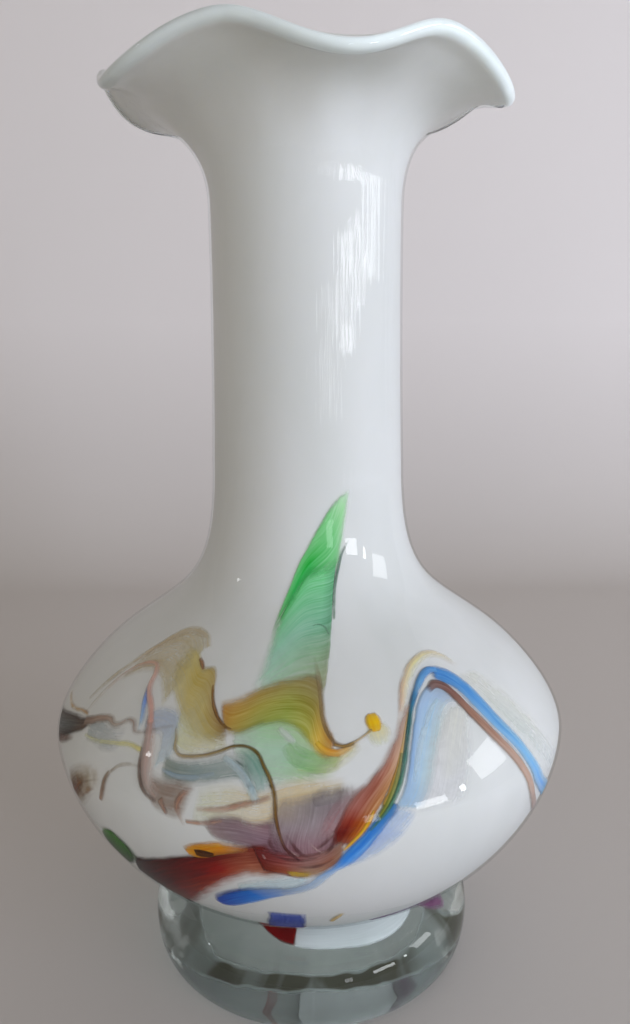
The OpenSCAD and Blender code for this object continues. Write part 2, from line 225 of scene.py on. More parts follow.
class Shader:
    """A material's nodes; each call adds one and gives back the output that the next is fed from."""

    def __init__(self, name):
        self.material = bpy.data.materials.new(name)
        self.material.use_nodes = True
        self.nodes, self.links = self.material.node_tree.nodes, self.material.node_tree.links
        self.nodes.clear()

    @cached_property
    def position(self):
        return self.add("TexCoord", {}, "Object")

    @cached_property
    def height(self):
        return self.add("SeparateXYZ", {"Vector": self.position}, "Z")

    def add(self, kind, inputs, output=0, **settings):
        """A node whose inputs are given as numbers or as the outputs that feed them."""
        new = self.nodes.new("ShaderNode" + kind)
        for key, value in settings.items():
            setattr(new, key, value)
        for key, value in inputs.items():
            if isinstance(value, bpy.types.NodeSocket):
                self.links.new(value, new.inputs[key])
            else:
                new.inputs[key].default_value = value
        return new.outputs[output]

    def math(self, operation, *values, clamp=False):
        return self.add("Math", dict(enumerate(values)), operation=operation, use_clamp=clamp)

    def ranged(self, value, low, high, start=0.0, end=1.0):
        return self.add("MapRange", {"Value": value, "From Min": low, "From Max": high, "To Min": start,
                                     "To Max": end})

    def mapped(self, vector, scale):
        return self.add("Mapping", {"Vector": vector, "Scale": scale})

    def radius(self, scale):
        """Distance from the axis in metres, on a scale that may make it oval."""
        return self.add("VectorMath", {0: self.mapped(self.position, scale)}, "Value", operation="LENGTH")

    def noise(self, vector, scale, detail, rough=0.5, distortion=0.0):
        return self.add("TexNoise", {"Vector": vector, "Scale": scale, "Detail": detail, "Roughness": rough,
                                     "Distortion": distortion})

    def bump(self, height, strength, distance, **over):
        return self.add("Bump", {"Height": height, "Strength": strength, "Distance": distance, **over})

    def ramp(self, factor, start, end, low=0.0, high=1.0):
        """A colour that runs from start at low to end at high."""
        new = self.nodes.new("ShaderNodeValToRGB")
        for element, at, colour in zip(new.color_ramp.elements, (low, high), (start, end)):
            element.position, element.color = at, (*colour, 1)
        self.links.new(factor, new.inputs["Fac"])
        return new.outputs["Color"]

    def blend(self, factor, a, b, mode="MIX"):
        return self.add("Mix", {"Factor": factor, "A": a, "B": (*b, 1)}, "Result", data_type="RGBA",
                        blend_type=mode)

    def mixed(self, factor, first, second):
        """The material made of two surfaces in a ratio."""
        return self.surface(self.add("MixShader", {"Fac": factor, 1: first, 2: second}))

    def principled(self, **inputs):
        """The principled surface; an underscore in an input's name stands for a space."""
        return self.add("BsdfPrincipled", {key.replace("_", " "): value for key, value in inputs.items()})

    def clear(self, *colour):
        return self.add("BsdfTransparent", {"Color": (*colour, 1)})

    def surface(self, shader):
        """The finished material with its surface."""
        self.links.new(shader, self.nodes.new("ShaderNodeOutputMaterial").inputs["Surface"])
        return self.material


def opal_material():
    """White opal glass, faintly mottled, with painted shade that greys the lowest part of the bulb."""
    s = Shader("opal_glass")
    mottle = s.noise(s.mapped(s.position, (1, 1, 0.35)), 38, 4, 0.55, 0.3)
    white = s.ramp(mottle, srgb(226, 228, 224), srgb(235, 236, 233), 0.3, 0.7)
    # Painted shade: the opal's colour is darkened towards the bottom of the bulb, below 85 mm.
    painted_low_shade = s.ranged(s.height, 0.03, 0.085, 1.0, 0.0)
    return s.surface(s.principled(
        Base_Color=s.blend(painted_low_shade, white, (0.74, 0.75, 0.77), "MULTIPLY"), Roughness=0.35,
        Specular_IOR_Level=0.15, Subsurface_Weight=0.35, Subsurface_Radius=(1.0, 0.95, 0.85),
        Subsurface_Scale=0.004))


def clear_material():
    """Casing over the opal: clear and gently wavy, drawn in fine lines up the neck, glossier edge on."""
    s = Shader("clear_casing_glass")
    wave = s.noise(s.mapped(s.position, (1, 1, 0.5)), 22, 2)
    drawn = s.noise(s.mapped(s.position, (1, 1, 0.02)), 800, 2, 0.6)
    on_neck = s.math("MULTIPLY", drawn, s.ranged(s.height, 0.148, 0.18, 0.1, 9.0))
    normal = s.bump(on_neck, 0.85, 0.00003, Normal=s.bump(wave, 0.5, 0.0012))
    facing = s.add("LayerWeight", {"Blend": 0.5, "Normal": normal}, "Facing")
    share = s.math("MULTIPLY_ADD", s.math("POWER", facing, 5.0), 0.34, 0.04)
    gloss = s.add("BsdfGlossy", {"Roughness": 0.035, "Normal": normal})
    return s.mixed(share, s.clear(0.975, 0.985, 0.985), gloss)


def fused_material():
    """The hidden faces where two layers of glass are fused: no surface is left there."""
    s = Shader("fused_face")
    return s.surface(s.clear(1, 1, 1))


def solid_glass(name, tint, rim_tint, contact_shade_tint, shade, wave_scale, wave_depth):
    """Thick clear glass that refracts, greener towards its rim; lamplight goes straight through it.

    contact_shade_tint paints shade: a dark, cloudy oval ring low down that stands in for the shaded contact
    under the foot, seen through the glass.
    """
    s = Shader(name)
    smoke = s.noise(s.mapped(s.position, (1, 1, 2.5)), 34, 3, 0.55, 1.2)
    near_rim = s.math("SUBTRACT", s.ranged(s.radius((1, 1, 0)), 0.038, 0.0565), 0.45)
    body = s.ramp(s.math("MULTIPLY_ADD", smoke, 0.9, near_rim, clamp=True), tint, rim_tint)
    oval = s.radius((0.85, 1, 0))
    # Painted shade: a dark oval ring low in the foot, where the shaded contact under it shows through the
    # glass.
    ring = smoke
    for side in (s.ranged(oval, 0.0329, 0.0333, 0.0, 1.8), s.ranged(s.height, 0.004, 0.007, 1.0, 0.0),
                 s.ranged(oval, 0.0345, 0.0350, 1.0, 0.0)):
        ring = s.math("MULTIPLY", ring, side)
    glass = s.principled(
        Base_Color=s.blend(ring, body, contact_shade_tint), Roughness=0.02, IOR=1.5,
        Transmission_Weight=s.math("SUBTRACT", 1.0, ring, clamp=True),
        Normal=s.bump(s.noise(s.position, wave_scale, 2), 0.5, wave_depth))
    return s.mixed(s.add("LightPath", {}, "Is Shadow Ray"), glass, s.clear(*shade))


def streaked_material():
    """Coloured glass drawn out in the gather: the piece brings its tint, streaked finely along its flow."""
    s = Shader("streaked_colour_glass")
    tint, cover, flow = (s.add("Attribute", {}, output, attribute_name=name)
                         for name, output in (("tint", "Color"), ("cover", "Fac"), ("flow", "Vector")))
    fine = s.noise(s.mapped(flow, (0.06, 1.3, 1)), 1.0, 4, 0.6, 0.8)
    cloud = s.noise(s.position, 190, 3, 0.6, 0.6)
    uneven = s.math("MULTIPLY", s.math("ADD", s.math("ADD", fine, -1.0), cloud), 3.0)
    part_way = s.math("MULTIPLY", cover, s.math("SUBTRACT", 1.0, cover))
    return s.surface(s.principled(
        Base_Color=s.add("Gamma", {"Color": tint, "Gamma": s.ranged(fine, 0.3, 0.7, 0.75, 1.33)}),
        Alpha=s.math("MULTIPLY_ADD", part_way, uneven, cover, clamp=True), Roughness=0.5,
        Specular_IOR_Level=0.05))


OPAL = opal_material()
CLEAR = clear_material()
FUSED = fused_material()
LIP_GLASS = solid_glass("lip_glass", (0.93, 0.97, 0.96), (0.9, 0.95, 0.94), (0.9, 0.95, 0.94),
                        (0.86, 0.9, 0.89), 90, 0.0004)
STREAKED = streaked_material()
# The foot's third tint is painted shade: the dark ring low in the foot.
FOOT_GLASS = solid_glass("foot_glass", (0.9, 0.95, 0.92), (0.46, 0.54, 0.5), (0.1, 0.092, 0.064),
                         (0.9, 0.95, 0.93), 55, 0.0010)


def place(obj, slot, *nodes, mats=()):
    """Gives a piece its materials, body and the CAD nodes that it stands for. Its slot is not used."""
    for m in mats:
        obj.data.materials.append(m)
    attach(obj, "root")
    if nodes:
        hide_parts(*nodes)
    return obj


# ---------------------------------------------------------------- body, casing and foot
outer = wall_rows(OPAL_DEPTH, OPAL_END)
inner = wall_rows(WALL, OPAL_END, FLOOR_EXTRA)
opal = grid_object("opal_layer", np.concatenate([outer, edge_arc(outer[-1], inner[-1], 5), inner[::-1]]))
place(opal, "opal_white", "opal_body", mats=[OPAL])

outer = wall_rows(0.0)
inner = wall_rows(WALL)
tip = edge_arc(outer[-1], inner[-1], 9)
inner_lip = inner[-3:][::-1]
hidden = wall_rows(OPAL_DEPTH + HIDDEN_EXTRA, FUSE_END)[::-1]
rows = np.concatenate([outer, tip, inner_lip, hidden])
lip_end = len(outer) + len(tip) + len(inner_lip) - 1
slots = np.zeros(len(rows) - 1, int)
slots[:FOOT_ROWS] = slots[lip_end:] = 1
slots[len(outer) - 2:lip_end] = 2
casing = grid_object("clear_casing_layer", rows, slots)
place(casing, "clear_glass", "clear_casing", mats=[CLEAR, FUSED, LIP_GLASS])

SHOULDER = pts(WAIST + [0.6, -0.3], [WAIST[0] + 11, WAIST[1] - 0.3], [FOOT_R, FOOT_EDGE_Z + 10],
               [FOOT_R, FOOT_EDGE_Z])
heel = pts([FOOT_R, FOOT_EDGE_Z], [FOOT_R, FOOT_EDGE_Z * 0.5], [RING_R + 4, 0], [RING_R, 0])
hollow_r = RING_R - RING_WIDTH
hollow = pts([hollow_r, 0], [hollow_r * 0.8, HOLLOW * 0.8], [hollow_r * 0.45, HOLLOW], [AXIS_R, HOLLOW])
seat = SKIN[:FOOT_ROWS + 1] - (OPAL_DEPTH + SEAT_EXTRA) * NORM[:FOOT_ROWS + 1]
seat[0, 0] = AXIS_R
profile = np.vstack([seat, bez(SHOULDER, np.linspace(0, 1, 30)), bez(heel, np.linspace(0, 1, 20)[1:]),
                     bez(hollow, np.linspace(0, 1, 22))])
foot = grid_object("foot_glass_body", np.repeat(profile[::-1, None, :], COLUMNS, 1))
place(foot, "foot_glass", "foot", mats=[FOOT_GLASS])

# ---------------------------------------------------------------- coloured glass, in degrees and millimetres
# A point is an azimuth from the front and a height up the body, or below zero the distance down the
# shoulder of the foot.
arc_steps = np.linspace(0, 1, 60)
FOOT_ARC, FOOT_N = bez(SHOULDER, arc_steps), -outward(bez_dir(SHOULDER, arc_steps))
FOOT_S = np.concatenate([[0], np.cumsum(np.linalg.norm(np.diff(FOOT_ARC, axis=0), axis=1))])


def skin_at(z):
    """Radius and outward meridian normal of the skin."""
    z = np.asarray(z, float)
    body = [np.interp(z, SKIN[:, 1], v) for v in (SKIN[:, 0], *NORM.T)]
    foot = [np.interp(-z, FOOT_S, v) for v in (FOOT_ARC[:, 0], *FOOT_N.T)]
    r, nr, nz = (np.where(z < 0, f, b) for f, b in zip(foot, body))
    n = np.stack([nr, nz], -1)
    return r, n / np.linalg.norm(n, axis=-1, keepdims=True)


def on_skin(az, z, depth):
    """Points in space at a depth under the skin."""
    r, n = skin_at(z)
    height = np.where(z < 0, np.interp(-z, FOOT_S, FOOT_ARC[:, 1]), z)
    return spin(r - depth * n[..., 0], height - depth * n[..., 1], az)


def flat_steps(p):
    """Steps between neighbouring points, in millimetres across and up the skin."""
    z = (p[1:, 1] + p[:-1, 1]) / 2
    r, n = skin_at(z)
    d = np.diff(p, axis=0)
    return np.stack([d[:, 0] * np.radians(1) * r, d[:, 1] / np.where(z < 0, 1, np.maximum(n[:, 0], 0.3))], -1)


def shares(p):
    """Share of the length reached at each point, and the length."""
    c = np.concatenate([[0], np.cumsum(np.linalg.norm(flat_steps(p), axis=1))])
    return c / c[-1], c[-1]


def curve_through(p, knots, u):
    """Catmull-Rom curve through points at the given knots, sampled at u."""
    m = np.gradient(p, knots, axis=0)
    k = np.clip(np.searchsorted(knots, u, side="right") - 1, 0, len(knots) - 2)
    h = (knots[k + 1] - knots[k])[:, None]
    t = ((u - knots[k])[:, None]) / h
    return ((2 * t ** 3 - 3 * t ** 2 + 1) * p[k] + (t ** 3 - 2 * t ** 2 + t) * h * m[k]
            + (-2 * t ** 3 + 3 * t ** 2) * p[k + 1] + (t ** 3 - t ** 2) * h * m[k + 1])


def edges_of_thread(line, widths):
    """Two edges of a thread from its centre line and width."""
    p = np.array(line, float)
    knots, length = shares(p)
    u = np.linspace(0, 1, max(6, int(length / 1.2)))
    c = curve_through(p, knots, u)
    w = np.interp(u, np.linspace(0, 1, len(widths)), widths) / 2
    r, n = skin_at(c[:, 1])
    scale = np.stack([np.radians(1) * r, 1 / np.maximum(n[:, 0], 0.3)], -1)
    d = np.gradient(c, axis=0) * scale
    d /= np.linalg.norm(d, axis=1, keepdims=True) + 1e-9
    side = np.stack([-d[:, 1], d[:, 0]], -1) * w[:, None] / scale
    return c + side, c - side


def lit_by_room(az, z):
    """Brightness that white glass shows around the body, which the colours were read against."""
    across = np.interp(az, [-85, -60, -45, -30, -15, 0, 15, 30, 60, 85],
                       [0.16, 0.2, 0.24, 0.31, 0.4, 0.5, 0.6, 0.66, 0.67, 0.62])
    up = np.interp(z, [20, 36, 50, 65, 80, 110, 140], [0.45, 0.55, 0.7, 0.84, 0.95, 1.0, 1.0])
    return across * up


def ease(x):
    x = np.clip(x, 0, 1)
    return x * x * (3 - 2 * x)


def tint_rows(colours):
    """Stops along a strip, and the linear colour and cover of its two edges and its middle at each.

    A row is one colour or three across the strip, after its stop; rows without stops are evenly spaced.
    """
    stops, rows = [], []
    for k, row in enumerate(colours):
        stop = k / max(1, len(colours) - 1)
        if not isinstance(row[0], tuple):
            stop, row = (row[0], row[1:]) if isinstance(row[1], tuple) else (stop, (row,))
        stops.append(stop)
        rows.append([[*np.maximum(srgb(*c) - GLOSS, 0.2 * srgb(*c)), c[3] if len(c) > 3 else 1.0]
                     for c in (row * 3 if len(row) == 1 else row)])
    return stops, np.array(rows, float)


class Strip:
    """One ribbon or patch of coloured glass between edges a and b, thickest along its middle.

    colours are as in tint_rows, and level is its relief. An edge fades in over soft * SOFTEN
    millimetres, with a soft for each edge where they differ, and its two ends over the lengths in ends.
    """

    def __init__(self, a, b, colours, level=1, soft=0.8, ends=None, grid=0.8):
        a, b = np.array(a, float), np.array(b, float)
        ka, la = shares(a)
        kb, lb = shares(b)
        if len(a) == len(b):
            ka = kb = (ka + kb) / 2
        nu = max(6, int(max(la, lb) / grid) + 1)
        u = np.linspace(0, 1, nu)
        ea, eb = curve_through(a, ka, u), curve_through(b, kb, u)
        width = self.widths(ea, eb)
        nv = int(np.clip(width.max() / grid, 4, 60)) + 1
        v = np.linspace(0, 1, nv)
        soft_a, soft_b = SOFTEN * np.array((soft, soft) if np.isscalar(soft) else soft)
        across = eb - ea
        ea = ea - across * np.minimum(soft_a * 0.5 / np.maximum(width, 1e-3), 0.5)[:, None]
        eb = eb + across * np.minimum(soft_b * 0.5 / np.maximum(width, 1e-3), 0.5)[:, None]
        width = self.widths(ea, eb)[:, None]
        g = ea[:, None] + (eb - ea)[:, None] * v[None, :, None]
        end0, end1 = (np.max(soft), np.max(soft)) if ends is None else ends
        length = (la + lb) / 2
        cover = ease(v[None] * width / soft_a) * ease((1 - v)[None] * width / soft_b)
        cover = cover * (ease(u * length / end0) * ease((1 - u) * length / end1))[:, None]
        stops, rows = tint_rows(colours)
        at_u = np.array([[np.interp(u, stops, rows[:, k, ch]) for k in range(3)] for ch in range(4)])
        tint = np.empty((nu, nv, 4))
        for ch in range(4):
            for i in range(nu):
                tint[i, :, ch] = np.interp(v, [0, 0.5, 1], at_u[ch, :, i])
        lit = lit_by_room(g[..., 0], g[..., 1])
        tint[..., :3] = np.clip(tint[..., :3] * WHITE / lit[..., None], 0, MAX_TINT)
        tint[..., 3] *= cover
        rise = LEVEL * level * np.clip(np.minimum(v, 1 - v)[None] * width / RISE_WIDTH, 0, 1) ** 0.5
        rise[(u == 0) | (u == 1)] = 0
        rise[:, 0] = rise[:, -1] = 0
        top = on_skin(g[..., 0], g[..., 1], OPAL_DEPTH + TOP_DEPTH - rise)
        low = on_skin(g[..., 0], g[..., 1], np.full(g.shape[:2], OPAL_DEPTH + LOW_DEPTH))
        flow = np.stack(np.broadcast_arrays(u[:, None] * length, (v[None] - 0.5) * width, 0.0), -1)
        self.nu, self.nv, self.out = nu, nv, top[0, 0] - low[0, 0]
        self.verts, self.tint, self.flow = (
            np.concatenate([above.reshape(nu * nv, -1), below.reshape(nu * nv, -1)])
            for above, below in ((top, low), (tint, tint), (flow, flow)))

    @staticmethod
    def widths(a, b):
        """Distance across the skin between two edges, at each of their points."""
        return np.linalg.norm(flat_steps(np.stack([a, b], 1).reshape(-1, 2))[::2], axis=1)

    def faces(self):
        """Faces of the top, underside and rim, turned outwards."""
        nu, nv = self.nu, self.nv
        i, j = np.meshgrid(np.arange(nu - 1), np.arange(nv - 1), indexing="ij")
        a = (i * nv + j).ravel()
        top = np.stack([a, a + 1, a + nv + 1, a + nv], -1)
        under = top[:, ::-1] + nu * nv
        ring = np.concatenate([np.arange(nv), np.arange(1, nu) * nv + nv - 1,
                               (nu - 1) * nv + np.arange(nv - 2, -1, -1), np.arange(nu - 2, 0, -1) * nv])
        nxt = np.roll(ring, -1)
        wall = np.stack([ring, ring + nu * nv, nxt + nu * nv, nxt], -1)
        f = np.concatenate([top, under, wall])
        a, b, c = self.verts[f[0, :3]]
        return f[:, ::-1] if np.dot(np.cross(b - a, c - a), self.out) < 0 else f


def glass_piece(name, slot, strips, in_cad=True):
    """One mesh of strips; it stands for the CAD node of its name, if there is one."""
    starts = np.cumsum([0] + [len(s.verts) for s in strips])
    obj = linked_object(name + "_glass", (np.concatenate([s.verts for s in strips]) * MM).tolist(),
                        np.concatenate([s.faces() + start for s, start in zip(strips, starts)]).tolist())
    tints = np.concatenate([s.tint for s in strips])
    for key, kind, field, values in (
            ("tint", "FLOAT_COLOR", "color", tints), ("cover", "FLOAT", "value", tints[:, 3].copy()),
            ("flow", "FLOAT_VECTOR", "vector", np.concatenate([s.flow for s in strips]))):
        obj.data.attributes.new(key, kind, "POINT").data.foreach_set(field, values.ravel())
    return place(obj, slot, *([name] if in_cad else []), mats=[STREAKED])


def thread(line, widths, colours, **kw):
    """A thread of coloured glass from its centre line and width; its first colour lies left of its run."""
    return Strip(*edges_of_thread(line, widths), colours, **kw)


glass_piece("leaf_shard", "leaf_green", [
    Strip([(-13.9, 124.4), (-11.5, 131), (-8.5, 136.5), (-5, 142), (-1, 146.5), (3, 150.5), (7, 154),
         (11, 157.4), (15, 160), (19, 162), (24.4, 163.8)],
        [(-13.5, 124.2), (-10.2, 128.8), (-7, 133), (-4, 136.6), (0, 139.4), (5, 140.2), (10, 141),
         (14.4, 143), (17.4, 149), (20.4, 156.6), (24.2, 163.4)],
        [(0, (56, 117, 63, 0.9)), (0.15, (96, 167, 103, 0.8), (61, 142, 73), (48, 117, 60)),
         (0.3, (100, 174, 112, 0.85), (44, 154, 72), (51, 137, 78)),
         (0.5, (112, 184, 120, 0.85), (50, 158, 72), (80, 164, 106)),
         (0.7, (132, 196, 136), (116, 190, 126), (132, 198, 140, 0.9)),
         (0.88, (178, 214, 176, 0.9), (162, 210, 160), (180, 216, 176, 0.8)), (1, (202, 224, 200, 0.5))],
        level=4, soft=(0.9, 2.6), ends=(0.5, 3)),
    thread([(21.6, 148.6), (17.4, 145.2), (14.4, 140.6), (12.2, 136.6), (10.7, 132), (9.6, 128)],
        [0.4, 0.8, 0.8, 0.5],
        [(0, (106, 127, 113, 0.6)), (0.4, (76, 107, 90, 0.9)), (1, (91, 127, 103, 0.5))], level=5,
        soft=0.3)])
glass_piece("leaf_veil", "veil_green", [
    Strip([(-13.9, 125), (-10, 130.5), (-7, 135), (-4, 138.6), (0, 141.4), (4, 142.4), (8, 143), (12, 143.6),
         (14.8, 144)],
        [(-16, 112.6), (-13, 112.4), (-10, 112.6), (-7, 113), (-4, 113.4), (-1.6, 113.6), (0.6, 113.6),
         (2.4, 113.8), (4, 114.6)],
        [(0, (92, 158, 105, 0.9), (152, 176, 160, 0.35), (177, 188, 175, 0.1)),
         (0.25, (84, 166, 102), (134, 174, 153, 0.8), (167, 186, 168, 0.35)),
         (0.55, (96, 180, 114), (128, 172, 148, 0.95), (162, 178, 150, 0.5)),
         (0.85, (110, 190, 128), (118, 168, 140), (160, 158, 120, 0.6)),
         (1, (92, 158, 114), (100, 146, 118), (152, 140, 108, 0.6))], level=3, soft=(0.3, 4), ends=(8, 0.5)),
    thread([(0.6, 126.6), (3, 127.2), (5.6, 126.6), (6.9, 124.6)], [0.4, 0.7, 0.5],
        [(112, 153, 128, 0.5), (107, 148, 122, 0.8)], level=4, soft=0.3)])
glass_piece("olive_band", "olive", [
    Strip([(-21.4, 110.8), (-18.5, 111.6), (-15, 113.2), (-12, 114.6), (-8, 115.9), (-4, 116.6), (0, 117),
         (2.4, 116.4), (3, 113), (3.2, 110), (3.8, 107.4), (5.2, 105.2)],
        [(-19.8, 108.2), (-17, 106.2), (-14, 106.7), (-11, 108), (-8, 108.7), (-5, 108.6), (-2.6, 107.6),
         (-1, 106.2), (0.2, 104.8), (1.2, 103.6), (2.6, 102.6), (4.4, 102.4)],
        [(0, (145, 105, 50, 0.8)), (0.12, (158, 125, 75, 0.8), (145, 118, 60), (138, 124, 66, 0.9)),
         (0.3, (152, 125, 82, 0.8), (138, 128, 62), (126, 136, 72, 0.9)),
         (0.5, (145, 128, 88, 0.8), (130, 132, 62), (136, 152, 78, 0.9)),
         (0.68, (138, 122, 92, 0.8), (138, 128, 66), (152, 152, 66, 0.95)),
         (0.85, (148, 122, 92, 0.7), (180, 150, 70, 0.95), (200, 172, 80, 0.9)), (1, (165, 120, 60, 0.8))],
        level=4, soft=(1.8, 1.6), ends=(2, 1.5)),
    thread([(1.4, 121), (2.3, 117), (2.7, 113), (2.8, 110), (3.6, 107), (5, 104.9), (7, 104.2), (9, 104.6)],
        [0.5, 1.3, 1.2, 1.1, 0.6],
        [(0, (150, 140, 110, 0.3)), (0.4, (132, 112, 80, 0.6)), (1, (125, 102, 70, 0.8))], level=5,
        soft=0.6)])
glass_piece("gold_tail", "gold", [
    thread([(-3, 100.6), (2, 100.8), (6, 102.2), (10, 104.4)], [2, 3.6, 1.6],
        [(185, 190, 140, 0.4), (195, 188, 140, 0.5)], level=2, soft=1.3),
    thread([(1, 105.4), (2.8, 103.6), (5, 102.9), (7.5, 103.6), (10, 104.8)], [1, 1.8, 1.2, 0.6],
        [(0, (205, 170, 60, 0.8)), (0.4, (200, 145, 65, 0.9)), (1, (195, 160, 90, 0.4))], level=5, soft=0.6),
    thread([(4.4, 104.7), (6.4, 104.1), (8.4, 104.5), (11, 105.6), (13.6, 107)], [0.7, 0.6, 0.5],
        [(135, 105, 62, 0.9), (160, 135, 80, 0.8)], level=6, soft=0.25)])
glass_piece("yellow_dot", "yellow", [
    Strip([(13, 109.9), (12.3, 108.6), (12.6, 107), (13.6, 106)],
        [(14.4, 110), (15.4, 108.8), (15.4, 107.2), (14.5, 106)],
        [(205, 165, 55, 0.9), (212, 172, 25), (208, 165, 60, 0.8)], level=5, soft=0.6),
    Strip([(12.6, 107.4), (12.4, 105.6), (13.6, 103.2)],
        [(15.8, 108), (16.6, 106), (16, 103.6)],
        [(222, 205, 160, 0.6), (225, 205, 172, 0.7), (228, 214, 190, 0.3)], level=3, soft=1.2)])
glass_piece("aqua_patch", "aqua", [
    Strip([(-17, 106.6), (-13, 107.8), (-8, 109.4), (-4, 109.6), (-1, 108), (1, 105.6), (3.4, 104),
         (6, 103)],
        [(-15.6, 102.4), (-12, 101), (-9, 98.4), (-6, 97.8), (-3, 98.2), (0, 98.6), (3, 99.2), (6.4, 101)],
        [(158, 172, 159, 0.5), ((138, 168, 129, 0.9), (150, 175, 154, 0.85), (158, 178, 164, 0.6)),
         ((158, 180, 134, 0.8), (148, 178, 154, 0.85), (158, 182, 154, 0.6)),
         ((198, 205, 169, 0.6), (133, 172, 119, 0.9), (158, 185, 129, 0.6)), (190, 192, 139, 0.3)], level=2,
        soft=(1.2, 2.4), ends=(1.5, 2)),
    thread([(-5, 105), (-2.6, 102.6), (0, 101.6), (3, 101.4), (6, 102.2)], [2.4, 4.6, 3.4, 1.6],
        [(0, (150, 178, 138, 0.5)), (0.4, (138, 172, 130, 0.7)), (1, (172, 188, 138, 0.5))], level=3,
        soft=1.6),
    thread([(-7, 108), (-4.6, 106), (-2.8, 104.8)], [1, 2, 1],
        [(198, 205, 184, 0.5), (203, 208, 199, 0.6)], level=4, soft=0.8),
    thread([(-14.6, 102.8), (-11.8, 101.2), (-9.8, 98.4), (-8.6, 94.6)], [1.5, 4.2, 4.6, 2.4],
        [(128, 150, 139, 0.5), (110, 140, 130, 0.75), (138, 158, 154, 0.4)], level=3, soft=1.6),
    thread([(-17.4, 101.4), (-13.4, 99), (-11, 96), (-9.4, 92.6)], [1.2, 1.8, 2, 1.4],
        [(158, 170, 179, 0.5), (158, 178, 182, 0.6)], level=4, soft=0.7)])
glass_piece("khaki_patch", "khaki", [
    Strip([(-55, 117), (-50, 121.6), (-45, 123), (-39, 122.6), (-34.4, 120)],
        [(-56, 109), (-50, 113), (-45, 114), (-40, 112), (-35.4, 108)],
        [(128, 120, 102, 0.3), (132, 122, 98, 0.5), (141, 134, 108, 0.5)], level=1, soft=2.2),
    Strip([(-31, 109.6), (-27, 107.4), (-22.6, 106.4), (-18, 106.6)],
        [(-30, 102), (-26, 101), (-21, 101.6), (-16.6, 103.4)],
        [(164, 160, 130, 0.4), (168, 162, 128, 0.5), (166, 164, 135, 0.3)], level=1, soft=1.6),
    Strip([(-42, 119), (-38, 119.4), (-34, 118.2), (-31, 116.6), (-28, 117), (-26, 115.8), (-24.6, 113.4),
         (-23.2, 111), (-21.4, 109), (-19.4, 107.5), (-16.8, 106.9)],
        [(-40, 113.6), (-36, 112), (-32, 109), (-29.6, 107.4), (-27.4, 106), (-25.4, 104.8), (-23.4, 104.4),
         (-21.6, 104.3), (-19.8, 104.4), (-18, 105), (-16.6, 106.1)],
        [(0, (141, 132, 98, 0.3)), (0.22, (148, 138, 92, 0.75), (146, 136, 94, 0.8), (151, 144, 112, 0.45)),
         (0.38, (136, 122, 70, 0.9), (144, 131, 82, 0.9), (152, 144, 106, 0.5)),
         (0.6, (138, 120, 80, 0.9), (146, 134, 88, 0.9), (158, 152, 116, 0.5)),
         (0.82, (124, 102, 70, 0.9), (138, 122, 78, 0.9), (154, 146, 98, 0.6)), (1, (106, 78, 42, 0.8))],
        level=3, soft=(1.2, 2.6)),
    thread([(-25.6, 114.4), (-24, 112), (-22.4, 110), (-20.4, 108.2), (-18.4, 107), (-16.4, 106.6)],
        [0.5, 0.9, 0.5],
        [(0, (111, 84, 52, 0.8)), (0.6, (91, 64, 38)), (1, (96, 71, 40, 0.8))], level=5, soft=0.3),
    thread([(-34.4, 118.4), (-32.6, 117.6), (-30.4, 116.2)], [0.6, 1.1, 0.5],
        [(106, 78, 54, 0.7), (104, 72, 46, 0.8)], level=5, soft=0.35)])
glass_piece("straw_arc", "straw", [
    thread([(-62.5, 101), (-60.6, 106), (-57.6, 111.6), (-54.4, 116.4), (-51, 120), (-47, 122.4), (-42, 123),
         (-37, 122.3), (-33.8, 120.4)], [1, 1.8, 2.2, 2.4, 1.6],
        [(112, 105, 92, 0.5), (130, 119, 101, 0.55), (142, 133, 112, 0.5)], level=2, soft=0.8)])
glass_piece("umber_thread", "umber", [
    thread([(-29.9, 105.2), (-28.6, 103), (-28, 101), (-26.8, 100.1), (-24, 100.2), (-21, 101), (-18, 102.3),
         (-15.5, 103.5), (-12.5, 103.7), (-10.3, 102.6), (-8.9, 100.4), (-7.5, 98), (-6.6, 95.6), (-6.2, 93),
         (-6, 90.5), (-5.6, 88), (-5, 85), (-4.2, 82), (-3, 80), (-1.6, 78.4)],
        [0.5, 0.9, 0.7, 0.8, 0.8, 0.6],
        [(122, 108, 80, 0.8), (112, 96, 66, 0.9), (92, 78, 38), (106, 82, 48), (98, 66, 74)], level=6,
        soft=0.4),
    thread([(-58, 97), (-55, 98.6), (-52, 100.4), (-49, 101.4), (-46.5, 100.9), (-45, 101.6), (-43, 103.2),
         (-41, 103), (-40, 101.8), (-37.5, 102), (-35, 103.2), (-32, 104.6), (-30, 105.3)],
        [2.6, 1.7, 1.4, 1, 0.7],
        [(0, (85, 74, 66, 0.9)), (0.25, (112, 98, 88, 0.9), (104, 88, 78), (92, 82, 74)),
         (0.45, (108, 98, 90, 0.8)), (0.65, (112, 98, 92, 0.8)), (1, (108, 94, 76, 0.8))], level=5,
        soft=0.9),
    thread([(-78, 95.6), (-70, 95.9), (-65, 97.2), (-62, 98.3), (-58, 99)], [0.8, 1.2, 1],
        [(120, 100, 70, 0.3), (110, 92, 68, 0.7)], level=4, soft=0.4),
    thread([(-55, 95), (-49, 96), (-44, 97.6), (-39, 98.8), (-35.6, 98.6)], [0.8, 1.2, 1.2],
        [(150, 132, 105, 0.4), (165, 145, 100, 0.7)], level=4, soft=0.5)])
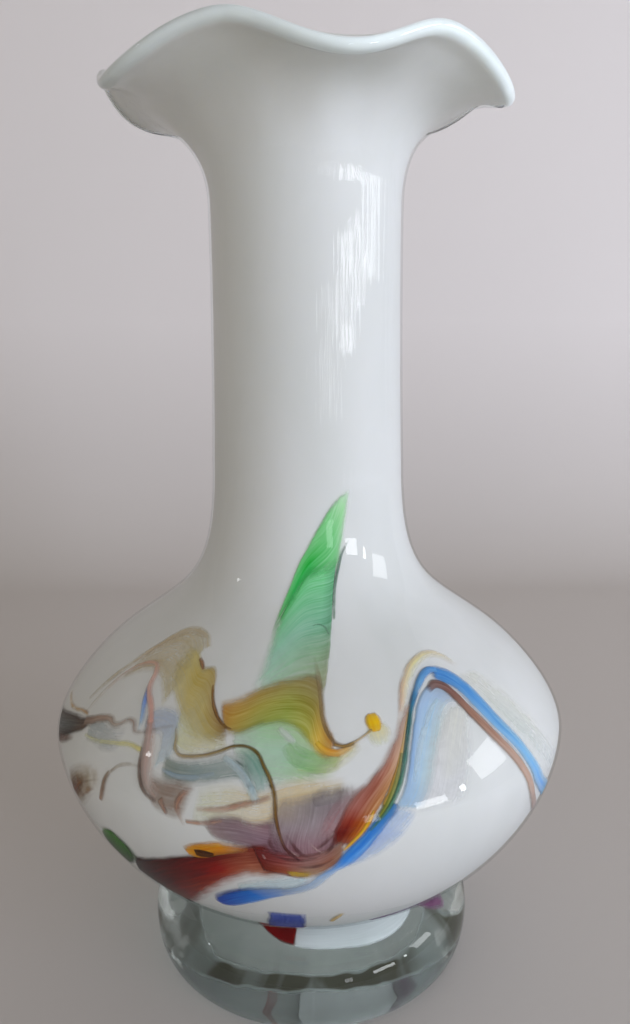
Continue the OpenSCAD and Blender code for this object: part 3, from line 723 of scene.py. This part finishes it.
glass_piece("plum_thread_upper", "plum", [
    thread([(-59.4, 98.6), (-58.6, 102.6), (-57.4, 106.6), (-55.6, 110.2), (-53, 113), (-50, 114.4),
         (-47, 114.6), (-45, 113.4), (-43.8, 111.2), (-42.4, 109.6), (-40, 108), (-38.2, 106.4),
         (-36.4, 104)], [0.7, 0.9, 1.2, 1.3, 1.6],
        [(0, (112, 104, 92, 0.6)), (0.35, (125, 108, 98, 0.6)), (0.6, (138, 116, 106, 0.7)),
         (0.75, (140, 112, 104, 0.9)), (1, (150, 122, 114, 0.9))], level=6.5, soft=0.6),
    thread([(-44.4, 111), (-42.6, 108.8), (-41, 106.6), (-39.4, 104), (-38.6, 101.6)], [0.5, 1.2, 1.1, 0.6],
        [(0, (70, 65, 68, 0.9)), (0.35, (82, 102, 142)), (0.75, (98, 122, 156, 0.9)),
         (1, (132, 144, 164, 0.5))], level=7, soft=0.6)])
glass_piece("plum_thread_lower", "plum", [
    Strip([(-32, 94.6), (-28, 93.8), (-24.6, 94.6), (-21, 94)],
        [(-30.6, 89.4), (-28, 88.2), (-25, 87.4), (-22.4, 88)],
        [(0, (114, 102, 94, 0.65)), (0.6, (114, 100, 90, 0.65)), (1, (128, 114, 102, 0.45))], level=2.2,
        soft=2),
    thread([(-38, 106.2), (-36.2, 103.4), (-34.8, 100.4), (-33.6, 97), (-32.4, 94), (-30.8, 91.6),
         (-28.6, 90)], [1.4, 2.2, 3, 3.6, 3, 2],
        [(0, (139, 112, 102, 0.8)), (0.3, (154, 138, 130, 0.7), (134, 114, 108, 0.85), (96, 84, 78, 0.9)),
         (0.7, (156, 142, 134, 0.6), (132, 116, 110, 0.8), (88, 76, 70, 0.9)), (1, (144, 130, 122, 0.5))],
        level=5.5, soft=1.2),
    thread([(-35.8, 99.6), (-35, 96.6), (-33.8, 93.6), (-32.2, 91.2), (-30.2, 89.8), (-28.6, 89.2)],
        [0.7, 1.2, 0.9],
        [(94, 79, 72, 0.6), (74, 62, 56, 0.9), (94, 79, 72, 0.6)], level=6.3, soft=0.5),
    thread([(-28.2, 90.4), (-27, 88.4), (-26, 86.8)], [1.6, 1.1, 0.6],
        [(124, 102, 90, 0.8), (109, 86, 74, 0.8)], level=6, soft=0.4),
    thread([(-21.6, 94.4), (-23.4, 92.4), (-24.2, 90), (-23.4, 87.2), (-22.4, 84.8)],
        [0.5, 1.4, 1.4, 0.8, 0.5],
        [(0, (144, 116, 102, 0.4)), (0.4, (126, 92, 76, 0.75)), (1, (122, 86, 68, 0.7))], level=6,
        soft=0.7)])
glass_piece("grey_wisp", "grey_blue", [
    Strip([(-30, 100), (-28.5, 98.8), (-25, 98.6), (-20, 99.8), (-15, 101.6), (-11, 100.6)],
        [(-29.5, 95), (-26, 95), (-22, 95.4), (-17, 97), (-13, 97.6), (-10, 95.4)],
        [(0, (104, 110, 102, 0.62)), (0.4, (106, 118, 116, 0.75)), (1, (124, 136, 130, 0.45))], level=1.5,
        soft=1.8),
    thread([(-29.6, 96.4), (-26, 95.8), (-22, 96.4), (-18, 98)], [0.8, 1.2, 0.7],
        [(122, 136, 145, 0.6), (132, 146, 155, 0.4)], level=3, soft=0.5),
    Strip([(-39, 105.6), (-35, 107.8), (-31.5, 107.6), (-29.2, 104.4), (-28.2, 99)],
        [(-38, 102.4), (-34, 103.4), (-32.4, 103), (-31.4, 100), (-31, 96)],
        [(0, (132, 139, 152, 0.5)), (0.4, (132, 139, 150, 0.65)), (1, (142, 153, 158, 0.5))], level=2.5,
        soft=1.4),
    Strip([(-56, 98.4), (-50, 100), (-46, 100), (-42, 101)],
        [(-54, 95), (-50, 95.6), (-46, 95.4), (-42, 97)],
        [(0, (104, 109, 110, 0.5)), (0.6, (117, 121, 122, 0.5)), (1, (132, 133, 135, 0.3))], level=3,
        soft=1.4)])
glass_piece("smoke_streak", "smoke", [
    Strip([(-55, 98.8), (-60, 97.2), (-66, 95.2), (-71, 93), (-77, 90.6), (-84, 87.5)],
        [(-55.4, 96.4), (-60, 93), (-64, 90), (-68, 87.2), (-73, 84), (-80, 80)],
        [(0, (65, 52, 42, 0.8)), (0.25, (46, 38, 30), (54, 54, 52), (38, 30, 22)),
         (0.65, (42, 34, 26), (58, 62, 62), (42, 28, 18)), (1, (55, 43, 31, 0.3))], level=4, soft=0.9,
        ends=(2, 8)),
    thread([(-59, 92), (-63, 89.6), (-68, 86.6), (-73, 83.4), (-79, 79)], [0.8, 2.4, 3, 1.4],
        [(65, 44, 30, 0.6), (52, 30, 16, 0.7), (55, 33, 21, 0.2)], level=5, soft=0.8, ends=(1, 6))])
glass_piece("caramel_streak", "caramel", [
    thread([(-44, 89), (-49, 85.4), (-53, 81.4), (-57, 77), (-61, 72.6), (-65, 68)], [3, 6, 8, 8, 6, 3],
        [(115, 102, 78, 0.3), (78, 60, 40, 0.65), (60, 48, 36, 0.4)], level=2, soft=2.4),
    thread([(-48, 86.6), (-50.5, 84.2), (-53, 81.4), (-56, 78), (-59, 75), (-62.6, 71.4)],
        [1, 2.4, 3.2, 2.6, 1.2],
        [(92, 68, 42, 0.6), (68, 42, 20, 0.85), (52, 34, 18, 0.6)], level=4, soft=1.2),
    thread([(-45.6, 85), (-48, 83), (-50.6, 80), (-53, 77.4)], [0.7, 1.3, 0.7],
        [(105, 79, 48, 0.5), (90, 66, 41, 0.4)], level=4, soft=0.5),
    thread([(-41.6, 92), (-42.4, 89.4), (-42.6, 86.8), (-43, 84.4), (-43.8, 82)], [0.7, 1.5, 1.6, 0.8],
        [(98, 84, 70, 0.6), (82, 60, 40, 0.8), (98, 62, 38, 0.6)], level=5, soft=0.5),
    thread([(-34.4, 95.4), (-37.6, 94.9), (-40, 93.6), (-41.6, 91.4)], [0.5, 0.8, 0.7],
        [(125, 120, 111, 0.3), (102, 89, 76, 0.6)], level=4, soft=0.35)])
glass_piece("mauve_patch", "mauve", [
    Strip([(-21, 93.6), (-15, 95.4), (-9, 95), (-3, 97.4), (2, 97.4), (6.6, 97)],
        [(-21.4, 86.6), (-15, 88), (-10, 87.6), (-5, 88.6), (0, 90.4), (5, 92.6)],
        [(0, (184, 171, 148, 0.3)), (0.4, (182, 167, 138, 0.45)), (0.7, (189, 169, 126, 0.6)),
         (1, (189, 173, 138, 0.35))], level=1, soft=2),
    Strip([(-19, 86.4), (-16.6, 88.4), (-13, 89), (-9.6, 88.2), (-7, 89), (-4, 89)],
        [(-17.8, 84), (-14.6, 82.8), (-12, 82.2), (-9, 81.4), (-6.6, 79.4), (-4.4, 78)],
        [(0, (122, 108, 106, 0.65)), (0.35, (110, 94, 98, 0.88)),
         (0.65, (129, 103, 106, 0.8), (110, 89, 98, 0.9), (104, 71, 76)),
         (1, (124, 101, 106, 0.8), (106, 75, 84, 0.9), (96, 59, 64))], level=3, soft=1.5, ends=(1.5, 1)),
    Strip([(-5, 95), (-6.2, 91), (-6.4, 88), (-6, 85), (-5.4, 82), (-4.6, 79.4), (-3.6, 77.4)],
        [(6.6, 97.4), (7.8, 93.4), (7, 89.6), (5.4, 86.4), (4.4, 83.4), (3.8, 80.8), (2.8, 78)],
        [(0, (154, 147, 138, 0.2)), (0.2, (149, 138, 128, 0.5), (124, 117, 120, 0.8), (134, 117, 120, 0.7)),
         (0.45, (132, 119, 122, 0.8), (134, 121, 124, 0.85), (126, 95, 98, 0.9)),
         (0.7, (102, 73, 80, 0.9), (126, 99, 105, 0.9), (122, 95, 98, 0.9)), (1, (109, 75, 76, 0.9))],
        level=4.2, soft=2),
    thread([(0, 93.2), (2.2, 94.2), (4.6, 94.6), (6.4, 95.4)], [1.5, 3.2, 2.6, 1],
        [(119, 111, 114, 0.4), (144, 138, 138, 0.45), (148, 140, 138, 0.35)], level=5, soft=1.2),
    Strip([(-10.4, 82.6), (-6.6, 81), (-2.6, 80.6), (1, 80.8), (4, 83), (5.6, 84.6)],
        [(-8.8, 75), (-5, 74), (-2, 73), (1, 73.8), (3.6, 76.2), (5.6, 79.6)],
        [(0, (84, 28, 26, 0.9)), (0.3, (102, 53, 58), (112, 59, 54), (129, 65, 33, 0.8)),
         (0.55, (122, 87, 90, 0.9), (126, 91, 82, 0.9), (152, 123, 70, 0.7)),
         (0.8, (129, 98, 93, 0.9), (124, 81, 66, 0.9), (134, 93, 68, 0.7)), (1, (134, 95, 70, 0.7))],
        level=5, soft=1.2),
    *[thread(line, [0.4, 0.9, 0.4], [(89, 53, 56, 0.7), (82, 43, 44, 0.8), (89, 53, 54, 0.5)], level=7.4,
         soft=0.5) for line in (
        [(-5, 85.4), (-4.4, 82.6), (-3.2, 80.4), (-2, 78.8), (-0.8, 77.8)],
        [(-4.4, 86.6), (-3.4, 84.4), (-2.6, 82.4), (-1.6, 80.6), (0, 79.6), (1.4, 79.2)],
        [(3.8, 86.4), (3, 85), (2, 83.6), (1.2, 82.6), (0.4, 82)],
        [(4.2, 85.4), (3.6, 83.6), (3, 81.6), (2, 80)],
        [(-7.4, 81.6), (-6, 80), (-4, 79), (-2, 78.8), (0, 79.2), (2, 80.4)],
        [(-6.6, 86.4), (-7, 84), (-6.4, 82), (-5.4, 80.4)], [(-3, 77), (0, 76.6), (2.4, 77.6), (4, 79.4)])],
    *[thread(line, [0.3, 0.6, 0.3], [(179, 155, 146, 0.4), (184, 159, 152, 0.5), (174, 151, 140, 0.3)],
         level=8, soft=0.4) for line in (
        [(-8.6, 80.6), (-8, 79.4), (-7.8, 78.2)], [(-0.4, 84.8), (0.4, 82.8), (1.6, 81.4), (3, 80.6)],
        [(-3.8, 82.4), (-2.8, 80.8), (-1.4, 79.6)], [(4.2, 87.6), (3.4, 86), (2.4, 84.6)])],
    thread([(-22.4, 86.2), (-18, 87), (-15, 88.4)], [0.7, 1, 0.5],
        [(134, 101, 82, 0.7), (144, 113, 98, 0.4)], level=5, soft=0.35),
    thread([(-20.6, 89.8), (-15, 91), (-12, 92.4), (-10, 93), (-7, 94.6)], [0.7, 1.3, 1],
        [(149, 123, 108, 0.4), (136, 101, 86, 0.7), (134, 105, 86, 0.5)], level=5, soft=0.45),
    Strip([(-4.4, 75.6), (-3.6, 73)],
        [(0, 75.2), (-0.4, 72.6)],
        [(162, 133, 58, 0.8), (159, 135, 58, 0.5)], level=6, soft=0.9)])
glass_piece("amber_chip", "amber", [
    Strip([(-23.2, 77.6), (-22, 78.9), (-20, 80.2), (-17.4, 81.4), (-14, 81.9), (-10.4, 82)],
        [(-22.6, 76.3), (-21, 75.9), (-19, 76.2), (-16.6, 77.9), (-13.6, 79.5), (-10.4, 80.8)],
        [(0, (163, 117, 34, 0.8)), (0.25, (166, 117, 29), (146, 96, 26), (113, 67, 24)),
         (0.6, (178, 127, 24), (153, 97, 29), (118, 67, 29)), (0.8, (153, 102, 54, 0.8)),
         (1, (128, 72, 54, 0.6))], level=5.3, soft=0.8),
    Strip([(-21.4, 78.4), (-19.8, 79.3), (-18, 79), (-16.6, 78.4)],
        [(-21, 76.8), (-19.4, 76.2), (-18, 76.8), (-16.8, 77.6)],
        [(66, 44, 20, 0.9), (60, 40, 22, 0.9)], level=6, soft=0.5)])
glass_piece("brick_band", "brick_red", [
    Strip([(-7, 83.4), (-10, 82.2), (-12.6, 80.9), (-15, 79.1), (-18, 77.3), (-20.5, 76.1), (-23, 75.1),
         (-26, 73.3), (-28.6, 71.3), (-31, 69.9), (-35, 67.1), (-38, 65.3), (-40, 61.6), (-42, 57.6),
         (-44.5, 54), (-47, 51.5)],
        [(-3.6, 75.6), (-6.6, 73.8), (-9, 73.2), (-11.4, 73), (-13.2, 71.8), (-15.2, 69.8), (-17.2, 67.2),
         (-19.2, 64.6), (-21.2, 61.6), (-23.2, 58.6), (-25.4, 55.6), (-27.4, 52.4), (-30, 49.4), (-33, 45.8),
         (-36, 42.8), (-38.6, 40.4), (-41, 38.5)],
        [(0, (94, 35, 32, 0.8)), (0.12, (92, 44, 38), (122, 70, 54), (144, 96, 68, 0.65)),
         (0.25, (70, 12, 4), (104, 20, 4), (127, 60, 19, 0.8)),
         (0.4, (62, 8, 4), (78, 10, 4), (112, 45, 9, 0.8)), (0.6, (42, 4, 4), (60, 7, 4), (82, 30, 4, 0.8)),
         (0.8, (24, 4, 4), (37, 4, 4), (52, 20, 4, 0.8)), (1, (16, 8, 4, 0.8))], level=3.7, soft=(0.8, 2.4),
        ends=(3, 6))])
glass_piece("green_chip", "dark_green", [
    Strip([(-43.6, 72), (-46, 70.8), (-48.4, 68), (-50, 64), (-51.2, 60), (-52.8, 56)],
        [(-42, 72), (-39.6, 70), (-38.2, 66.4), (-40, 62.6), (-43.2, 59), (-47.2, 55)],
        [(44, 84, 26, 0.9), (22, 50, 8), (12, 18, 4, 0.8)], level=6, soft=1.2)])
glass_piece("rust_cane_outer", "rust", [
    thread([(1.6, 84.6), (3.6, 88.4), (5.4, 91.6), (7.6, 94.6), (10, 97)], [2, 4, 4.2, 2.6, 1],
        [(160, 128, 130, 0.6), (158, 128, 130, 0.55), (188, 168, 160, 0.3)], level=4.6, soft=2),
    Strip([(23, 110.8), (19.8, 107), (16.8, 103.2), (13.6, 99.4), (10.4, 96.6), (7.8, 94.4), (6, 91.8),
         (4.7, 88.6), (3.8, 85.6), (3.8, 82.8)],
        [(24.2, 110.6), (21.4, 106.8), (18.6, 102.4), (16, 98.4), (14, 95), (12.2, 92), (10.8, 89.6),
         (9.4, 87.2), (7.6, 84.8), (6, 82.4)],
        [(0, (195, 165, 145, 0.7)), (0.25, (160, 118, 104, 0.9), (178, 140, 120, 0.9), (208, 186, 158, 0.9)),
         (0.45, (148, 98, 86), (160, 108, 90), (195, 160, 124)),
         (0.62, (150, 104, 94, 0.9), (146, 92, 78), (172, 130, 84)),
         (0.74, (150, 104, 98, 0.9), (144, 88, 76), (166, 120, 72)),
         (0.82, (138, 74, 64, 0.9), (124, 46, 30), (168, 104, 40)),
         (0.9, (102, 32, 18), (94, 24, 8), (160, 88, 26)), (1, (120, 60, 45, 0.8))], level=5,
        soft=(1.3, 0.5), ends=(2, 2)),
    thread([(11.2, 91.6), (10, 88.8), (8.6, 86.2), (7, 83.8), (5.2, 81)], [0.6, 1.1, 1, 0.6],
        [(195, 155, 60, 0.8), (192, 142, 20), (188, 145, 40, 0.8)], level=6, soft=0.45),
    thread([(12.6, 91.4), (14.8, 95), (16.8, 98.8), (18.6, 102.4), (20.6, 106), (22.8, 109.2)],
        [0.9, 1.5, 1.2, 0.8, 0.6],
        [(0, (170, 140, 70, 0.8)), (0.4, (185, 145, 78, 0.9)), (1, (210, 185, 145, 0.8))], level=6,
        soft=0.45),
    thread([(11.4, 88.8), (13.4, 91.8), (15, 94.6), (16.7, 98.2), (18.4, 102)], [1, 1.6, 1.3, 0.7],
        [(120, 125, 45, 0.9), (132, 134, 74, 0.85), (140, 140, 100, 0.6)], level=7, soft=0.4),
    thread([(9.6, 86), (11.8, 88.8), (13.4, 90.8), (15.2, 93.6), (16.9, 96.8), (18.4, 100.2), (20, 103.6),
         (22, 107.2), (24.4, 110.3), (27, 112.4)], [0.6, 1.2, 1.5, 1.3, 1],
        [(0, (74, 120, 84, 0.7)), (0.3, (56, 104, 80, 0.85)), (0.6, (58, 104, 96, 0.85)),
         (0.8, (50, 105, 110)), (1, (60, 125, 180))], level=8, soft=0.45)])
glass_piece("gold_line", "pale_gold", [
    thread([(17.4, 104.6), (19.6, 107.4), (22, 110.8), (24, 113.2), (26.4, 115.1), (29.6, 116.8),
         (33, 117.8), (36, 118.3), (39, 118.1), (41.8, 117), (44.4, 114)], [0.5, 1, 1.9, 2.1, 2, 1.6, 1],
        [(0, (200, 165, 148, 0.5)), (0.35, (196, 145, 120, 0.9), (225, 195, 160, 0.9), (240, 220, 185, 0.8)),
         (0.6, (215, 190, 155, 0.8), (235, 215, 170, 0.9), (225, 215, 190, 0.6)), (1, (212, 200, 170, 0.3))],
        level=5.4, soft=0.8, ends=(1, 4))])
glass_piece("blue_cane", "blue", [
    Strip([(-14, 67.4), (-10, 70.2), (-6, 71.6), (-3, 72.6), (-0.6, 74.6)],
        [(-14, 64), (-10, 66.4), (-6, 67.6), (-3, 69), (-0.4, 71.4)],
        [(150, 165, 190, 0.5), (158, 172, 198, 0.6), (160, 180, 205, 0.4)], level=2, soft=1.3),
    Strip([(-20, 57.4), (-19.2, 60.4), (-17, 63), (-14.5, 65.1), (-12, 66.7), (-9, 67.9), (-6, 68.5),
         (-4, 68.6), (-2, 69.6), (-0.4, 71.1), (1, 73.2), (2.6, 75.1), (4.4, 77.3), (5.4, 79.9), (6.6, 82.1),
         (8, 84.3), (9.4, 86.5), (10.8, 88.5), (12.6, 90.5), (14.4, 92.6)],
        [(-19.6, 56.4), (-16.4, 57), (-13.8, 59), (-10.8, 61.4), (-8.3, 63.4), (-5.8, 65.2), (-3.4, 66.4),
         (-1.4, 67.4), (0.6, 69), (2, 71), (3.2, 73.2), (4.4, 75), (6.2, 76.6), (8, 79), (9.6, 81.2),
         (10.8, 83.6), (11.8, 85.8), (13, 87.8), (14.4, 89.6), (15.6, 91.6)],
        [(0, (18, 50, 112)), (0.25, (30, 72, 130), (32, 80, 145), (55, 105, 160)),
         (0.42, (122, 138, 158, 0.6)), (0.55, (134, 156, 180, 0.6)),
         (0.7, (58, 122, 185), (62, 125, 190), (108, 152, 205)),
         (0.85, (45, 102, 160), (58, 118, 180), (100, 145, 198)), (1, (60, 115, 160, 0.9))], level=6.4,
        soft=1.1, ends=(2, 1)),
    thread([(24, 110.1), (27, 112.5), (29.4, 113.9), (31.6, 114.9), (34, 115.4), (36.8, 114.8)],
        [0.9, 1.4, 1.8, 2, 1.8],
        [(0, (60, 118, 150, 0.8)), (0.5, (98, 152, 198)), (0.8, (90, 144, 200)), (1, (92, 152, 208))],
        level=8, soft=0.5),
    Strip([(33.6, 114.2), (36.2, 112.6), (38.6, 110.4), (39.8, 107.2), (41, 104), (42.6, 100.2),
         (44.4, 96.8), (46, 93.2), (47.2, 89.6), (48.4, 86), (49.6, 82.8), (51.6, 79.6), (54, 76.6),
         (56.6, 74), (59.6, 70.6), (64, 66)],
        [(34.8, 116), (39.4, 114.4), (42.4, 110.8), (43.8, 106.8), (44.9, 103.2), (46.1, 100.2), (47.5, 97),
         (48.8, 93.3), (50, 89.9), (51.2, 86.7), (52.8, 83.5), (54.8, 80.7), (57.4, 78.1), (60, 75.7),
         (62.8, 73), (66, 68)],
        [(0, (80, 140, 200)), (0.2, (120, 170, 212), (78, 142, 205), (112, 168, 212)),
         (0.35, (155, 192, 220), (108, 165, 208), (148, 188, 215, 0.8)),
         (0.5, (160, 195, 225), (130, 182, 220), (165, 200, 220, 0.7)),
         (0.7, (160, 188, 225), (128, 172, 218), (165, 195, 215, 0.7)),
         (0.85, (125, 165, 195), (105, 150, 180), (160, 185, 195, 0.6)), (1, (120, 155, 170, 0.2))], level=6,
        soft=(0.7, 1), ends=(2.5, 6)),
    thread([(37, 111.6), (38.8, 109), (40, 105.6), (41.6, 101.6), (43.6, 97.6), (45.4, 93.4), (46.6, 89.4)],
        [0.5, 0.8, 0.6],
        [(225, 228, 232, 0.5), (222, 228, 235, 0.5)], level=8, soft=0.35)])
glass_piece("sky_fill", "sky_blue", [
    Strip([(14.6, 90.6), (16.8, 94), (18.6, 98), (20.4, 102.2), (22.6, 106.2), (25.4, 109.8), (28.6, 112),
         (31.6, 112.8), (34.8, 111.6)],
        [(18.6, 89.6), (21.2, 93.2), (23.4, 97.2), (25.2, 101), (27.6, 104.2), (30, 106.8), (32.2, 108.2),
         (34, 108.8), (35.9, 109)],
        [(0, (158, 185, 206, 0.7)), (0.25, (148, 175, 206), (180, 203, 226, 0.9), (208, 223, 232, 0.4)),
         (0.6, (150, 181, 216), (176, 201, 228, 0.9), (208, 225, 234, 0.5)),
         (0.85, (166, 189, 214), (180, 203, 226, 0.85), (203, 219, 232, 0.5)), (1, (168, 180, 194, 0.7))],
        level=4, soft=(0.4, 2.4), ends=(1.5, 1.2)),
    thread([(19, 95), (21.4, 100.4), (24.6, 105), (28.6, 108.6), (32, 110.2)], [0.8, 1.7, 1.6, 0.8],
        [(198, 220, 236, 0.5), (208, 227, 239, 0.5)], level=5, soft=0.7)])
glass_piece("pale_tail", "sky_blue", [
    Strip([(5.6, 78.8), (8, 82), (10.2, 85.2), (12, 87.6), (14, 89.6), (16.6, 90.8)],
        [(5.4, 76.2), (9, 78), (12.4, 80.4), (15, 83.4), (16.8, 86.6), (18.2, 89.6)],
        [(140, 165, 208, 0.7), ((150, 170, 210, 0.8), (158, 174, 212, 0.75), (170, 184, 212, 0.5)),
         (165, 185, 215, 0.5)], level=4, soft=(0.6, 1.4))])
glass_piece("rust_cane_inner", "rust", [
    Strip([(29.4, 111.9), (33, 113.5), (35.8, 112.6), (37.6, 110.2), (38.8, 107.2), (40.4, 103.8), (42, 100),
         (43.8, 96.2), (45.2, 92.8), (46.6, 88.8), (47.8, 85.2), (49.2, 81.8), (50.8, 78.2), (52.8, 75),
         (55.2, 71.8), (59, 67)],
        [(29.8, 111.3), (33, 111.8), (34.8, 110.6), (36, 108.4), (37.2, 105.4), (38.8, 102.2), (40.4, 98.8),
         (42.2, 95.2), (43.6, 91.8), (45, 87.8), (46.2, 84.2), (47.6, 80.8), (49.2, 77.2), (51.2, 73.8),
         (53.4, 70.4), (57, 65.6)],
        [(0, (135, 112, 108, 0.7)), (0.12, (125, 92, 85)), (0.25, (150, 112, 95)),
         (0.45, (185, 155, 138, 0.9)), (0.65, (195, 168, 152, 0.8)), (0.85, (165, 148, 142, 0.8)),
         (1, (140, 130, 130, 0.2))], level=7, soft=0.5, ends=(2.5, 6))])
glass_piece("lemon_veil", "lemon", [
    Strip([(18.4, 88.6), (21.4, 94), (24.2, 99.4), (27.6, 103.2), (31.2, 106.4), (34.6, 108.6)],
        [(27.6, 88), (30.2, 93.6), (32.8, 98.4), (34.4, 102), (36.8, 105.2), (37.8, 107.6)],
        [(0, (218, 230, 228, 0.5)), (0.3, (216, 232, 221, 0.7), (240, 236, 212, 0.8), (236, 234, 222, 0.4)),
         (0.7, (210, 228, 218, 0.7), (234, 236, 212, 0.8), (230, 232, 218, 0.5)), (1, (220, 228, 214, 0.6))],
        level=3, soft=2.6, ends=(4, 3)),
    Strip([(42.6, 113), (45.4, 107), (47.8, 101), (50.4, 95), (52.8, 89), (55.4, 84), (58.6, 80)],
        [(48, 113), (51.4, 107), (54.4, 100.6), (57, 94), (59.4, 88.4), (61.6, 84.4), (64, 80.6)],
        [(223, 223, 211, 0.3), ((208, 224, 212, 0.45), (216, 224, 214, 0.4), (220, 218, 206, 0.4)),
         (213, 224, 221, 0.2)], level=2, soft=2.4)])
glass_piece("cobalt_chip", "cobalt", [
    Strip([(-9, 55.6), (-9.1, 52), (-10, 49), (-10.6, 46), (-11.4, 42.6), (-12.4, 39)],
        [(-1.6, 54.8), (-1.7, 51), (-1.7, 48), (-1.8, 45), (-2, 42), (-2.2, 39)],
        [(0, (68, 80, 130, 0.7), (83, 95, 140, 0.5), (63, 72, 125, 0.8)),
         (0.15, (54, 64, 120), (46, 56, 112), (54, 64, 120)), (0.5, (40, 46, 98)), (0.8, (46, 46, 98)),
         (1, (68, 55, 110, 0.8))], level=5, soft=0.8)])
glass_piece("straw_fleck", "straw", [
    thread([(4.6, 48), (5.2, 50.6), (6, 52.6), (6.6, 54.4)], [0.8, 1.7, 1],
        [(150, 125, 65, 0.8), (155, 130, 70, 0.7)], level=4, soft=0.5)])
glass_piece("wine_chip", "wine", [
    Strip([(-11, 38.6), (-12, 36.6), (-12, 34)],
        [(-2, 38.8), (-2.4, 36.4), (-3.4, 34)],
        [(110, 30, 50, 0.8), (120, 22, 38), (100, 30, 50, 0.7)], level=5, soft=0.8),
    Strip([(-28, 0), (-22, -0.4), (-16, -0.4), (-11, -0.4), (-6, -0.4)],
        [(-28, -1), (-22, -3), (-17, -5.2), (-12, -7), (-6.6, -8)],
        [(0, (90, 40, 40, 0.7)), (0.4, (78, 12, 14)), (1, (70, 8, 10))], level=4, soft=0.35,
        ends=(1.6, 0.6))])
glass_piece("violet_chip", "violet", [
    Strip([(18, 37.6), (22, 40), (27, 42.2), (31, 44)],
        [(18.6, 34.6), (23, 36.4), (28, 39), (32, 41.6)],
        [(110, 80, 120, 0.8), (105, 60, 110), (90, 50, 100, 0.8)], level=5, soft=0.9),
    Strip([(52, -0.6), (56, -0.6), (61, -0.6), (67, -0.6)],
        [(50, -7), (55, -11), (60, -13), (66, -9)],
        [(108, 74, 96, 0.5), (92, 56, 82, 0.8), (100, 66, 90, 0.4)], level=3, soft=1.2)])
glass_piece("opal_heel", "opal_white", [
    Strip([(-8, -0.2), (0, -0.2), (10, -0.2), (21, -0.2), (32, -0.2), (43, -0.2), (55, -0.2)],
        [(-7, -8.2), (0, -8.8), (10, -9.4), (21, -10.2), (32, -9.8), (43, -7.4), (55, -2.6)],
        [(232, 236, 236), (232, 236, 236)], level=2, soft=0.4, ends=(0.6, 2))], in_cad=False)

# ---------------------------------------------------------------- stage
LIGHT_DISTANCE, PANE_DISTANCE = 1.7, 1.5
PANE_TINT = (0.95, 0.98, 1.0)

# Soft lamps that light the glass but don't mirror in it: azimuth, elevation, size, power, colour.
SOFT_LAMPS = {
    "window_glow": (50, 10, (1.3, 0.9), 17.0, (0.93, 1.0, 1.2)),
    "side_glow": (88, 15, (1.0, 0.9), 2.0, (0.95, 1.0, 1.05)),
    "front_fill": (-8, 0, (1.2, 0.5), 4.5, (1.0, 1.0, 1.03))}
# Panes that only mirror in the glass: azimuth, elevation, size, power.
PANES = {
    "pane_near": (47, 10, (0.34, 0.2), 1.8), "pane_side": (80, 18, (0.42, 0.38), 2.8),
    "pane_mid": (62, 12, (0.07, 0.13), 0.5), "slats": (23, 6, (0.17, 0.25), 0.5),
    "pane_left": (-78, 27, (0.06, 0.06), 0.15)}


def area_light(name, azimuth, elevation, distance, size, power, colour, target=(0, 0, 0.12)):
    """A softbox seen from the target at an azimuth from the front and an elevation, in degrees."""
    a, e = math.radians(azimuth), math.radians(elevation)
    d = Vector((math.sin(a) * math.cos(e), -math.cos(a) * math.cos(e), math.sin(e)))
    lamp = bpy.data.lights.new(name, "AREA")
    lamp.shape, lamp.size, lamp.size_y = "RECTANGLE", size[0], size[1]
    lamp.energy, lamp.color = power, colour
    obj = bpy.data.objects.new(name, lamp)
    obj.location = Vector(target) + d * distance
    obj.rotation_euler = (-d).to_track_quat("-Z", "Y").to_euler()
    bpy.context.scene.collection.objects.link(obj)
    return obj


def backdrop():
    """A pale floor that curves up into a pale wall behind, just clear of the foot."""
    half_width, front, back, bend, high = 1.6, -1.2, 0.55, 0.12, 1.4
    line = [(front, 0.0), (back - bend, 0.0)]
    line += [(back - bend + bend * math.sin(a), bend - bend * math.cos(a))
             for a in np.linspace(0, math.pi / 2, 13)[1:]]
    line.append((back, high))
    obj = linked_object("backdrop", [(x, y, z) for y, z in line for x in (-half_width, half_width)],
                        [(2 * i, 2 * i + 1, 2 * i + 3, 2 * i + 2) for i in range(len(line) - 1)])
    s = Shader("pale_backdrop")
    colour = s.ramp(s.height, srgb(206, 201, 196), srgb(240, 236, 234), 0.0, 0.25)
    obj.data.materials.append(s.surface(s.principled(Base_Color=colour, Roughness=0.8)))
    obj.location.z = -FLOOR_GAP * MM


backdrop()
for name, (azimuth, elevation, size, power, colour) in SOFT_LAMPS.items():
    area_light(name, azimuth, elevation, LIGHT_DISTANCE, size, power, colour).visible_glossy = False
for name, (azimuth, elevation, size, power) in PANES.items():
    area_light(name, azimuth, elevation, PANE_DISTANCE, size, power, PANE_TINT).visible_diffuse = False

world = bpy.data.worlds.new("studio")
world.use_nodes = True
world.node_tree.nodes["Background"].inputs["Color"].default_value = (1.0, 0.91, 0.81, 1)
world.node_tree.nodes["Background"].inputs["Strength"].default_value = 0.31
bpy.context.scene.world = world
bpy.context.scene.view_settings.view_transform = "Standard"

cam_data = bpy.data.cameras.new("camera")
cam_data.sensor_width = 36.0
cam_data.lens = 27.07
cam_data.clip_start = 0.01
camera = bpy.data.objects.new("camera", cam_data)
camera.location = (0, -0.2569, 0.1981)
camera.rotation_mode = "XYZ"
camera.rotation_euler = (math.radians(90 - 10.23), math.radians(0.37), math.radians(-0.57))
bpy.context.scene.collection.objects.link(camera)
bpy.context.scene.camera = camera
